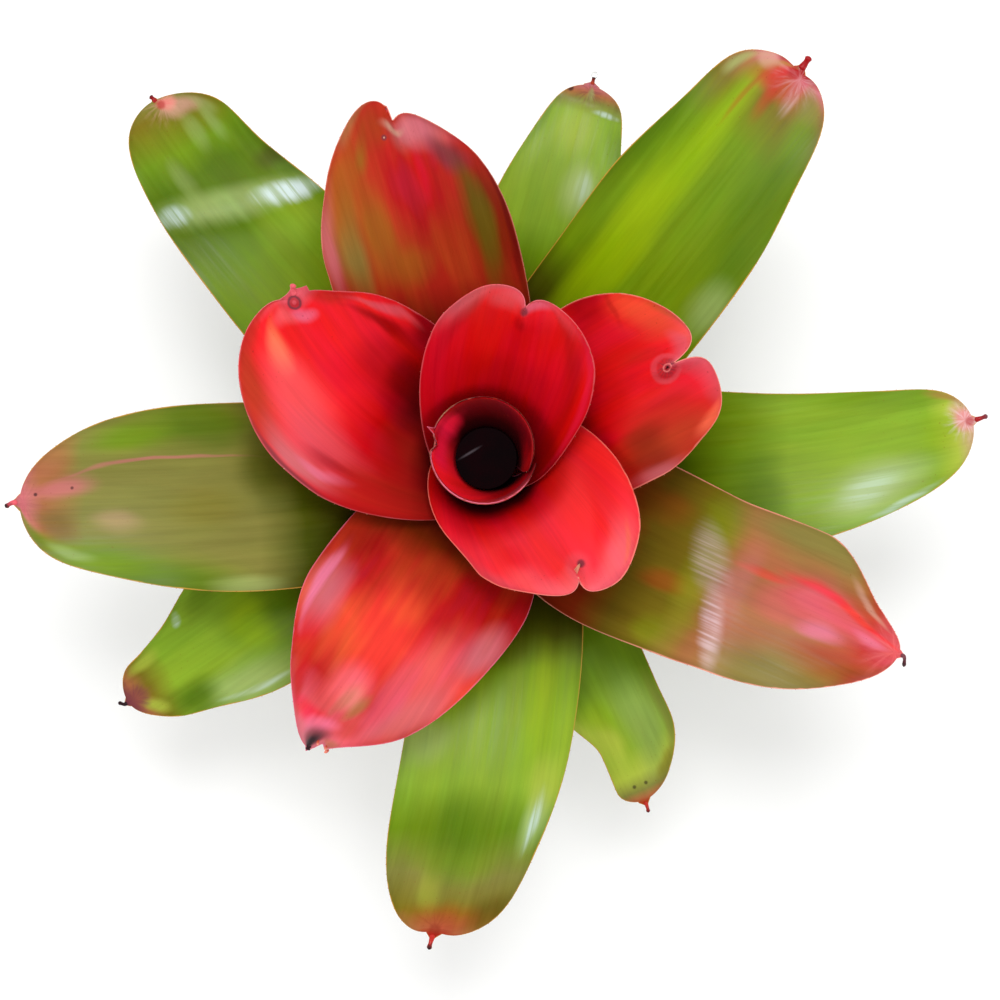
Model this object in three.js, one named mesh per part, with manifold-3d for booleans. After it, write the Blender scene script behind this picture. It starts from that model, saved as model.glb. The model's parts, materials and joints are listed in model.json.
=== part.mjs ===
// A potted neoregelia bromeliad: sixteen strap leaves in a spiral rosette on a short stem,
// the innermost one rolled into a cup that holds water, in potting mix in a plain nursery pot.
// Millimetres, +Z up. The origin is the middle of the pot's underside, on the plant's axis.

import * as THREE from 'three';
import { mergeVertices } from 'three/addons/utils/BufferGeometryUtils.js';
import Module from 'manifold-3d';

// ---------- driving dimensions ----------

const CLEAR = 0.4;               // gap kept between pieces that touch

const POT = {
  height: 105, baseRadius: 46, baseBevel: 1.5, floor: 2.6, wall: 2,
  shoulderHeight: 90, shoulderRadius: 58.5,                  // the tapered wall ends here
  collarRadius: 61, collarStep: 2,                           // and steps out to the collar
  rimRadius: 62.5, lipRadius: 64.3, lipHeight: 2.2, lipRound: 0.8,
  sides: 40, drainRadius: 4.5, drainRing: 32, drains: 6,
};
const MIX = { level: 96, mound: 2.5, grain: 0.7, rings: 5, sides: 40, holeDepth: 44 };
const STEM = {
  topHeight: 132, topRadius: 4, radiusStep: 1.6, radiusFade: 0.04, heightFade: 0.11,
  sides: 32, footHeight: 8, footTaper: 6, shoulder: 1, crown: 1,
};
const WATER = { bottom: 150, level: 176, rings: 4, sides: 28 };

// the leaf blade
const THICK = { base: 0.8, middle: 1.15, edge: 0.62 };
const HEART_LEAVES = 5;
const HEART_WRAP = THREE.MathUtils.degToRad(130);    // a heart leaf's edge reaches this far round
const SHEATH_WRAP = THREE.MathUtils.degToRad(98);    // and an outer leaf's this far
const WRAP_ENDS = [20, 45];      // blades hug the axis inside the first radius, are flat past the second
const BLADE_ROWS = 15;
const ROW_CROWDING = 1.2;        // above 1, the rows lie closer together in the sheath
const STRIPS = [20, 10, 10, 10, 10, 8];   // across each leaf, the last for all the rest
const MUCRO = { root: 1.3, middle: 0.8, end: 0.5 };  // half widths of the point at a leaf's tip

// One leaf from the heart of the rosette outwards in each entry.
//   way: compass angle of the tip, swing: how far its base is turned from that,
//   tilt: how far its end is turned, reach: plan distance of the blade's end,
//   rise and fall: slope at the base and at the tip, ease: how soon it bends over,
//   base: half width of the sheath, edge: [share of the reach, half width right, left],
//   hood: [pull in, lift, spread, start] of the drawn-in tip, cup: lift of the edges.
const LEAVES = [
  { way: 160, swing: 0, tilt: 0, reach: 19.5, rise: 86, fall: 35, ease: 0.3, base: 11,
    edge: [[0.5, 29, 29], [0.8, 50, 50], [0.95, 61, 61]], hood: [0, 0, 8, 0.8], cup: 0, mucro: 3 },
  { way: 75, swing: 0, tilt: -6, reach: 61, rise: 70, fall: 54, ease: 1, base: 12,
    edge: [[0.3, 32, 36], [0.5, 33, 35], [0.65, 30, 31], [0.85, 22, 22], [0.95, 13, 14]],
    hood: [7, 4, 5, 0.6], cup: 0, mucro: 2 },
  { way: 305, swing: 8, tilt: -26, reach: 58.5, rise: 67, fall: 50, ease: 1, base: 16,
    edge: [[0.36, 48, 52], [0.5, 33, 46], [0.65, 28, 36], [0.82, 23, 26], [0.95, 13, 15]],
    hood: [8, 4, 4.5, 0.6], cup: 0, mucro: 2 },
  { way: 28, swing: 0, tilt: 3, reach: 86, rise: 63, fall: 40, ease: 1, base: 18,
    edge: [[0.35, 34, 36], [0.6, 34, 36], [0.8, 29, 32], [0.95, 20, 19]],
    hood: [13, 4, 5, 0.6], cup: 0, mucro: 2 },
  { way: 138.5, swing: 22, tilt: -20, reach: 92, rise: 60, fall: 36, ease: 1, base: 20,
    edge: [[0.35, 36, 38], [0.6, 33, 40.5], [0.8, 25, 35], [0.95, 8.5, 21]],
    hood: [4, 3, 6, 0.75], cup: 0, mucro: 4 },
  { way: 106.4, swing: 0, tilt: -8, reach: 134, rise: 57, fall: 20, ease: 1.2, base: 22,
    edge: [[0.35, 31, 35], [0.6, 32, 36], [0.8, 26, 28.5], [0.95, 9, 14]],
    hood: [9, 3, 4, 0.8], cup: 0, mucro: 2 },
  { way: 238, swing: 5, tilt: -8, reach: 121, rise: 54, fall: 20, ease: 1.2, base: 24,
    edge: [[0.35, 35, 40], [0.55, 37, 37], [0.8, 26, 25], [0.95, 11, 8]],
    hood: [0, 0, 8, 0.8], cup: 0, mucro: 2 },
  { way: 185, swing: 5, tilt: -5, reach: 169, rise: 52, fall: 6, ease: 1.4, base: 26,
    edge: [[0.35, 32, 36], [0.6, 34.5, 35], [0.8, 31, 28.5], [0.94, 19, 19.5]],
    hood: [0, 0, 8, 0.8], cup: 3, mucro: 6 },
  { way: 335, swing: -2, tilt: 2, reach: 165, rise: 49, fall: 6, ease: 1.4, base: 28,
    edge: [[0.35, 39, 30], [0.55, 36, 29], [0.75, 31, 29], [0.92, 17, 12.5]],
    hood: [0, 0, 8, 0.8], cup: 3, mucro: 5 },
  { way: 51.4, swing: 0, tilt: 0, reach: 184, rise: 45.4, fall: 4, ease: 1.4, base: 29,
    edge: [[0.4, 32, 31], [0.6, 31, 32], [0.8, 26.5, 27.5], [0.95, 19, 20]],
    hood: [2, 1, 6, 0.9], cup: 3, mucro: 6 },
  { way: 5, swing: -8, tilt: 8, reach: 181, rise: 44, fall: -4, ease: 1.4, base: 30,
    edge: [[0.4, 36, 28], [0.6, 34, 23], [0.8, 26.5, 18.5], [0.95, 16, 13]],
    hood: [0, 0, 8, 0.8], cup: 3, mucro: 5 },
  { way: 263.5, swing: 12, tilt: 0, reach: 179, rise: 41, fall: -6, ease: 1.4, base: 30,
    edge: [[0.4, 29, 34], [0.6, 29.5, 33], [0.8, 28, 27.5], [0.95, 18, 18.5]],
    hood: [2, 1, 6, 0.9], cup: 3, mucro: 4 },
  { way: 132.5, swing: 8, tilt: -16, reach: 189, rise: 38, fall: -10, ease: 1.4, base: 30,
    edge: [[0.4, 33, 29], [0.6, 32, 27], [0.8, 25, 24.5], [0.95, 19, 17]],
    hood: [0, 0, 8, 0.8], cup: 3, mucro: 4 },
  { way: 74.6, swing: 0, tilt: 0, reach: 149, rise: 34, fall: -4, ease: 1.2, base: 28,
    edge: [[0.4, 28, 30], [0.7, 23, 24], [0.84, 18, 18], [0.97, 11.5, 9.5]],
    hood: [0, 0, 8, 0.8], cup: 2, mucro: 4 },
  { way: 213.5, swing: 0, tilt: 0, reach: 166, rise: 29, fall: -10, ease: 1.2, base: 28,
    edge: [[0.4, 30, 28], [0.7, 27, 27.5], [0.85, 18.5, 20], [0.96, 11.5, 11]],
    hood: [0, 0, 8, 0.8], cup: 2, mucro: 4 },
  { way: 295, swing: 0, tilt: 0, reach: 144, rise: 25, fall: -10, ease: 1.2, base: 28,
    edge: [[0.4, 26, 25], [0.72, 15.5, 24.5], [0.84, 8, 23], [0.95, 8.5, 14.5]],
    hood: [0, 0, 8, 0.8], cup: 2, mucro: 4 },
];
const CUP = { width: 35, most: 1.6, from: 0.25, to: 0.7 };   // how the lift of the edges grows
const TILT_EASE = 1.5;           // a tilted blade turns mostly near its end
const HOOD_EASE = 1.6;           // and so does a drawn-in tip

// the rolled innermost leaf
const TUBE = {
  wrap: THREE.MathUtils.degToRad(186),   // half turn of the roll, so that its edges overlap
  spiral: 0.9,                   // one edge lies this far outside the middle, the other inside
  spiralFrom: 6, spiralTo: 14,   // the radii over which the two edges part
  lean: [-1.3, 4.4],             // how far its mouth is off the axis
  leanEase: 5, leanMost: 1.2,
  height: 56,
};

// ---------- materials ----------

const finish = (color, roughness, metalness = 0) =>
  new THREE.MeshStandardMaterial({ color, roughness, metalness });
const RED = finish(0xc8141c, 0.3);
const MIXED = finish(0x8a4a1e, 0.32);
const GREEN = finish(0x5f8a1c, 0.32);
const LEAF_FINISH = [RED, RED, RED, RED, RED, MIXED, RED, MIXED, MIXED];

// ---------- small helpers ----------

const { asin, cos, exp, sin, tan, hypot, min, max, PI } = Math;
const rad = THREE.MathUtils.degToRad;
const mix = THREE.MathUtils.lerp;
const clamp = THREE.MathUtils.clamp;
const smooth = (a, b, x) => THREE.MathUtils.smoothstep(x, a, b);

function solid(points, faces) {
  const geometry = new THREE.BufferGeometry();
  geometry.setAttribute('position', new THREE.Float32BufferAttribute(points.flat(), 3));
  geometry.setIndex(faces.flat());
  return geometry;
}

function bare(geometry) {
  geometry.deleteAttribute('normal');
  geometry.deleteAttribute('uv');
  return mergeVertices(geometry, 1e-4);
}

// a profile of [radius, height] points spun round the Z axis, faces out
function spun(profile, sides) {
  const outline = profile.map(([r, z]) => new THREE.Vector2(r, z));
  return bare(new THREE.LatheGeometry(outline, sides).rotateX(PI / 2));
}

function named(name, geometry, material) {
  const mesh = new THREE.Mesh(geometry, material);
  mesh.name = name;
  return mesh;
}

// ---------- the stem: a short dome that the leaves grow from, with its foot in the mix ----------

const leafRadius = (k) => STEM.topRadius + STEM.radiusStep * k - STEM.radiusFade * k * k;
const leafHeight = (k) => STEM.topHeight - STEM.heightFade * k * k;

function stemProfile() {
  const last = LEAVES.length - 1;
  const inset = THICK.base / 2 + CLEAR;
  const foot = MIX.level - MIX.holeDepth + CLEAR;
  const shank = leafRadius(last) - inset;
  const dome = [last, 12, 8, 4, 0].map((k) => [leafRadius(k) - inset, leafHeight(k) - CLEAR]);
  return [
    [0, foot], [shank - STEM.footTaper, foot], [shank - STEM.shoulder, foot + STEM.footHeight],
    [shank, MIX.level], ...dome, [0, STEM.topHeight + STEM.crown - CLEAR],
  ];
}

// ---------- the pot ----------

function potProfile() {
  const { height, baseRadius, baseBevel, floor, wall, shoulderHeight, shoulderRadius, collarRadius,
    collarStep, rimRadius, lipRadius, lipHeight, lipRound } = POT;
  return [
    [0, 0], [baseRadius - baseBevel, 0], [baseRadius, baseBevel],
    [shoulderRadius, shoulderHeight], [collarRadius, shoulderHeight + collarStep],
    [rimRadius, height - lipHeight - lipRound], [lipRadius, height - lipHeight],
    [lipRadius, height - lipRound], [lipRadius - lipRound, height], [rimRadius - lipRound, height],
    [rimRadius - wall, height - lipRound], [collarRadius - wall, shoulderHeight + 1.5 * collarStep],
    [shoulderRadius - wall, shoulderHeight + collarStep / 4], [baseRadius - wall, floor], [0, floor],
  ];
}

async function pot() {
  const wasm = await Module();
  wasm.setup();
  const toSolid = (geometry) => new wasm.Manifold(new wasm.Mesh({
    numProp: 3,
    vertProperties: new Float32Array(geometry.attributes.position.array),
    triVerts: new Uint32Array(geometry.index.array),
  }));
  let body = toSolid(spun(potProfile(), POT.sides));
  for (let i = 0; i < POT.drains; i++) {
    const turn = 2 * PI * (i + 0.5) / POT.drains;
    const drill = new THREE.CylinderGeometry(POT.drainRadius, POT.drainRadius, 4 * POT.floor, 16);
    drill.rotateX(PI / 2).translate(POT.drainRing * cos(turn), POT.drainRing * sin(turn), 0);
    body = body.subtract(toSolid(bare(drill)));
  }
  const mesh = body.getMesh();
  const geometry = new THREE.BufferGeometry();
  geometry.setAttribute('position', new THREE.BufferAttribute(new Float32Array(mesh.vertProperties), 3));
  geometry.setIndex(new THREE.BufferAttribute(new Uint32Array(mesh.triVerts), 1));
  return geometry;
}

// ---------- the potting mix: fills the pot, mounded and rough on top, with the stem's hole ----------

const crumb = (x, y) => {
  const lumps = sin(0.9 * x + 0.3 * y) * cos(0.8 * y - 0.2 * x);
  const crumbs = sin(0.068 * x * y);
  return MIX.grain * (lumps + 0.6 * crumbs);
};

function pottingMix() {
  const inside = POT.wall + 2 * CLEAR;
  const outer = POT.collarRadius - inside;
  const hole = leafRadius(LEAVES.length - 1) - THICK.base / 2;
  const top = [];
  for (let i = 0; i <= MIX.rings; i++) {
    top.push([mix(outer, hole, i / MIX.rings), MIX.level]);
  }
  const profile = [
    [0, POT.floor + CLEAR], [POT.baseRadius - inside, POT.floor + CLEAR],
    [POT.shoulderRadius - inside, POT.shoulderHeight + POT.collarStep / 2],
    [outer, POT.shoulderHeight + 1.5 * POT.collarStep],
    ...top, [hole, MIX.level - MIX.holeDepth], [0, MIX.level - MIX.holeDepth],
  ];
  const geometry = spun(profile, MIX.sides);
  const position = geometry.attributes.position;
  for (let i = 0; i < position.count; i++) {
    const [x, y, z] = [position.getX(i), position.getY(i), position.getZ(i)];
    if (z < MIX.level - 0.01) continue;
    const inward = 1 - (hypot(x, y) - hole) / (outer - hole);
    position.setZ(i, z + MIX.mound * (inward - 0.5) + crumb(x, y));
  }
  return geometry;
}

// ---------- the leaves ----------

// how high a leaf stands at each plan radius: its slope eases from rise to fall along its length
function leafCurve(leaf, startRadius, startHeight) {
  const steps = 200;
  const slopes = Array.from({ length: steps }, (_, i) =>
    rad(mix(leaf.fall, leaf.rise, (1 - (i + 0.5) / steps) ** leaf.ease)));
  const meanCos = slopes.reduce((sum, a) => sum + cos(a), 0) / steps;
  const step = (leaf.reach - startRadius) / meanCos / steps;
  const radii = [startRadius];
  const heights = [startHeight];
  for (const slope of slopes) {
    radii.push(radii.at(-1) + step * cos(slope));
    heights.push(heights.at(-1) + step * sin(slope));
  }
  return (radius) => {
    if (radius >= leaf.reach) return heights.at(-1) + (radius - leaf.reach) * tan(rad(leaf.fall));
    let low = 0;
    let high = steps;
    while (high - low > 1) {
      const middle = (low + high) >> 1;
      if (radii[middle] > radius) high = middle; else low = middle;
    }
    return mix(heights[low], heights[high], (radius - radii[low]) / (radii[high] - radii[low]));
  };
}

// half width at a share of the reach: a smooth curve through the edge points, closing round at the end
function halfWidth(leaf, share, side) {
  const rows = [[0, leaf.base, leaf.base], ...leaf.edge, [1, 0, 0]];
  const at = rows.map((row) => asin(row[0]));
  const wide = rows.map((row) => row[side]);
  const rate = (i) => (wide[i + 1] - wide[i]) / (at[i + 1] - at[i]);
  const last = rows.length - 1;
  const lean = (i) => {
    if (i === 0) return rate(0);
    if (i === last) return rate(last - 1);
    if (rate(i - 1) * rate(i) <= 0) return 0;
    const before = at[i] - at[i - 1];
    const after = at[i + 1] - at[i];
    return (rate(i - 1) * after + rate(i) * before) / (before + after);
  };
  const angle = asin(min(share, 1));
  let i = 0;
  while (i < last - 1 && at[i + 1] <= angle) i++;
  const span = at[i + 1] - at[i];
  const t = (angle - at[i]) / span;
  const value = (2 * t ** 3 - 3 * t ** 2 + 1) * wide[i] + (t ** 3 - 2 * t ** 2 + t) * span * lean(i)
    + (3 * t ** 2 - 2 * t ** 3) * wide[i + 1] + (t ** 3 - t ** 2) * span * lean(i + 1);
  return max(value, 0);
}

// a point on the middle surface of leaf k, at a distance from the axis and across from the midrib
function leafSurface(leaf, k) {
  const start = leafRadius(k);
  const heightAt = leafCurve(leaf, start, leafHeight(k));
  const rolled = k === 0;
  return (distance, across) => {
    const t = (distance - start) / (leaf.reach - start);
    const inside = clamp(t, 0, 1);
    const way = rad(leaf.way + leaf.swing * (1 - t));
    const facing = rad(leaf.way + leaf.swing * (1 - inside) + leaf.tilt * inside ** TILT_EASE);
    const turn = way + across / distance;
    const flat = rolled ? 0 : smooth(WRAP_ENDS[0], WRAP_ENDS[1], distance);
    const parted = rolled ? smooth(TUBE.spiralFrom, TUBE.spiralTo, distance) : 0;
    const radius = distance + parted * TUBE.spiral * across / (TUBE.wrap * distance);
    let x = mix(radius * cos(turn), distance * cos(way) - across * sin(facing), flat);
    let y = mix(radius * sin(turn), distance * sin(way) + across * cos(facing), flat);
    let z = heightAt(rolled ? distance : hypot(x, y));
    const [pull, lift, spread, from] = leaf.hood;
    const along = clamp((distance / leaf.reach - from) / (1 - from), 0, 1);
    const hood = exp(-((across / spread) ** 2)) * along ** HOOD_EASE;
    x -= pull * hood * cos(facing);
    y -= pull * hood * sin(facing);
    z += lift * hood;
    const open = smooth(CUP.from, CUP.to, distance / leaf.reach);
    z += leaf.cup * open * min((across / CUP.width) ** 2, CUP.most);
    if (rolled) {
      const up = clamp((z - STEM.topHeight) / TUBE.height, 0, TUBE.leanMost) ** TUBE.leanEase;
      x += up * TUBE.lean[0];
      y += up * TUBE.lean[1];
    }
    return new THREE.Vector3(x, y, z);
  };
}

// the rows of a leaf's grid: [distance from the axis, half width right, half width left, half thickness]
function leafRows(leaf, k) {
  const start = leafRadius(k);
  const wrap = k === 0 ? TUBE.wrap : (k < HEART_LEAVES ? HEART_WRAP : SHEATH_WRAP);
  const first = asin(start / leaf.reach);
  const rows = [];
  for (let i = 0; i < BLADE_ROWS; i++) {
    const share = i / BLADE_ROWS;
    const distance = leaf.reach * sin(mix(first, PI / 2, share ** ROW_CROWDING));
    const [right, left] = [1, 2].map((side) =>
      max(min(halfWidth(leaf, distance / leaf.reach, side), wrap * distance), MUCRO.root));
    rows.push([distance, right, left, mix(THICK.base, THICK.middle, smooth(0, 0.4, share)) / 2]);
  }
  const point = [[0, MUCRO.root], [0.55, MUCRO.middle], [1, MUCRO.end]];
  for (const [share, half] of point) {
    rows.push([leaf.reach + share * leaf.mucro, half, half, THICK.middle / 2]);
  }
  return rows;
}

function leafGeometry(leaf, k) {
  const surface = leafSurface(leaf, k);
  const strips = STRIPS[min(k, STRIPS.length - 1)];
  const rows = leafRows(leaf, k);
  const nudge = 0.05;
  const upper = [];
  const lower = [];
  for (const [distance, right, left, half] of rows) {
    for (let j = 0; j <= strips; j++) {
      const share = j / strips;
      const across = mix(-right, left, share);
      const middle = surface(distance, across);
      const outward = surface(distance + nudge, across).sub(surface(distance - nudge, across));
      const sideways = surface(distance, across + nudge).sub(surface(distance, across - nudge));
      const normal = outward.cross(sideways).normalize();
      const thick = mix(THICK.edge / 2, half, 1 - (2 * share - 1) ** 4);
      upper.push(middle.clone().addScaledVector(normal, thick).toArray());
      lower.push(middle.clone().addScaledVector(normal, -thick).toArray());
    }
  }
  const count = upper.length;
  const wide = strips + 1;
  const faces = [];
  for (let i = 0; i < rows.length - 1; i++) {
    for (let j = 0; j < strips; j++) {
      const a = i * wide + j;
      const [b, c, d] = [a + 1, a + wide, a + wide + 1];
      faces.push([a, c, d], [a, d, b]);
      faces.push([count + a, count + d, count + c], [count + a, count + b, count + d]);
    }
  }
  const rim = [];
  for (let j = 0; j < strips; j++) rim.push(j);
  for (let i = 0; i < rows.length - 1; i++) rim.push(i * wide + strips);
  for (let j = strips; j > 0; j--) rim.push((rows.length - 1) * wide + j);
  for (let i = rows.length - 1; i > 0; i--) rim.push(i * wide);
  rim.forEach((a, i) => {
    const b = rim[(i + 1) % rim.length];
    faces.push([a, b, count + b], [a, count + b, count + a]);
  });
  return solid([...upper, ...lower], faces);
}

// ---------- the water in the cup: fills the rolled leaf up to its level ----------

function water() {
  const leaf = LEAVES[0];
  const heightAt = leafCurve(leaf, leafRadius(0), leafHeight(0));
  const inset = THICK.middle / 2 + TUBE.spiral + CLEAR;
  const points = [];
  for (let i = 0; i <= WATER.rings; i++) {
    const z = mix(WATER.bottom, WATER.level, i / WATER.rings);
    let distance = leafRadius(0);
    while (heightAt(distance) < z) distance += 0.02;
    const up = ((z - STEM.topHeight) / TUBE.height) ** TUBE.leanEase;
    for (let j = 0; j < WATER.sides; j++) {
      const turn = 2 * PI * j / WATER.sides;
      const radius = distance - inset;
      points.push([up * TUBE.lean[0] + radius * cos(turn), up * TUBE.lean[1] + radius * sin(turn), z]);
    }
  }
  const faces = [];
  for (let i = 0; i < WATER.rings; i++) {
    for (let j = 0; j < WATER.sides; j++) {
      const next = (j + 1) % WATER.sides;
      const [a, b] = [i * WATER.sides + j, i * WATER.sides + next];
      const [c, d] = [a + WATER.sides, b + WATER.sides];
      faces.push([a, b, d], [a, d, c]);
    }
  }
  const topStart = WATER.rings * WATER.sides;
  for (let j = 1; j < WATER.sides - 1; j++) {
    faces.push([0, j + 1, j], [topStart, topStart + j, topStart + j + 1]);
  }
  return solid(points, faces);
}

// ---------- the plant ----------

const plant = new THREE.Group();
plant.name = 'neoregelia';
plant.add(named('pot', await pot(), finish(0x1c1d1f, 0.6)));
plant.add(named('potting_mix', pottingMix(), finish(0x3a2a1c, 0.95)));
plant.add(named('stem', spun(stemProfile(), STEM.sides), finish(0x7d6a3c, 0.8)));
plant.add(named('cup_water', water(), finish(0x0c0808, 0.05)));
LEAVES.forEach((leaf, k) => {
  const name = `leaf_${String(k + 1).padStart(2, '0')}`;
  plant.add(named(name, leafGeometry(leaf, k), LEAF_FINISH[k] ?? GREEN));
});

export default plant;
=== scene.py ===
"""A potted neoregelia bromeliad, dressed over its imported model.

Sixteen glossy strap leaves stand in a spiral rosette on a short stem: red heart leaves round
a rolled leaf that holds water, and long green ones below. The stem stands in bark mix in a
thin nursery pot. Every piece is a metre-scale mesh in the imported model's own frame.
"""

import json
import math

import bmesh
import bpy
import numpy as np
from bpy.props import FloatProperty, FloatVectorProperty, IntProperty, PointerProperty
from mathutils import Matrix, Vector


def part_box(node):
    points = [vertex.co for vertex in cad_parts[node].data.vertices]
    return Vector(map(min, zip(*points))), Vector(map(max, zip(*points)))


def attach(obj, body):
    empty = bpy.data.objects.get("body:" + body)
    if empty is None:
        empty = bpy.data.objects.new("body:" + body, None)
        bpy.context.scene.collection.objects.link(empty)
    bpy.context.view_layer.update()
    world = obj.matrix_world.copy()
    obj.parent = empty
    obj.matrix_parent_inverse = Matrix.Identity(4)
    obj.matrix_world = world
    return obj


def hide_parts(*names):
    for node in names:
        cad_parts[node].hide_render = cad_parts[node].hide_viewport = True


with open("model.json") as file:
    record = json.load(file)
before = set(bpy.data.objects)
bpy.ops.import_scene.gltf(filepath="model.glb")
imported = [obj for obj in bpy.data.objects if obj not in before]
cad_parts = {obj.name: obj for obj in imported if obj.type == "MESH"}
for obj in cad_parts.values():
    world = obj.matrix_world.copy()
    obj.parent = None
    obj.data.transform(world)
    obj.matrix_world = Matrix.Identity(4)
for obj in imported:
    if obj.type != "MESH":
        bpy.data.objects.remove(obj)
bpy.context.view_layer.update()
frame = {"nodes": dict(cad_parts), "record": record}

bl_info = {
    "name": "Potted neoregelia",
    "version": (1, 0, 0),
    "blender": (4, 5, 0),
    "location": "3D View > Sidebar > Neoregelia",
    "description": "Builds a potted neoregelia bromeliad piece by piece",
    "category": "Add Mesh",
}

MM = 0.001
TAU = 2 * math.pi

# ---------- the rosette's plan: millimetres and degrees, one entry a leaf, heart first ----------
#
# A place along a blade is a distance from the plant's axis, or a share of the reach.
# A place across it is a distance from the midrib, to the left above 0, or a share from -1 to 1.
#
# way: angle of the tip from +X. swing: how far the base is turned from it. tilt: turn of the end.
# reach: plan distance of the end. rise, fall: slopes at the base and the tip. ease: how it bends.
# base: half width of the sheath. edge: [share of the reach, half width right, half width left].
# cup: lift of the margins. hood: [pull in, lift, spread, start] of a drawn-in tip.
# pinch: (strength, spread) of the notch in a drawn-in tip. aside: place across of hood and notch,
# and of the rolled leaf's point. neck: half width where a blade runs out into its point.
# bends: (distance, width, height, skew) of a wave across a blade.
# dimples: (share of the reach, place across, radius, height) of a ring round a hollow.
# hook: (length, radius, curl, colour, colour of its end) of the point.
#
# run: (share of the reach, colour) from sheath to tip; its darkening towards the sheath is partly painted
# shade.
# margin: colour of the edge. far_margin: the same on the far side, painted shade there on the rolled leaf.
# patches: [colour, share of the reach, share across, half length, half width, strength], and a slant where
# the patch has a clear outline; some patches are painted highlights, some painted sheen and some painted
# shade.
# marks: (kind, colour, share of the reach, share across, radius, strength).

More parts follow.
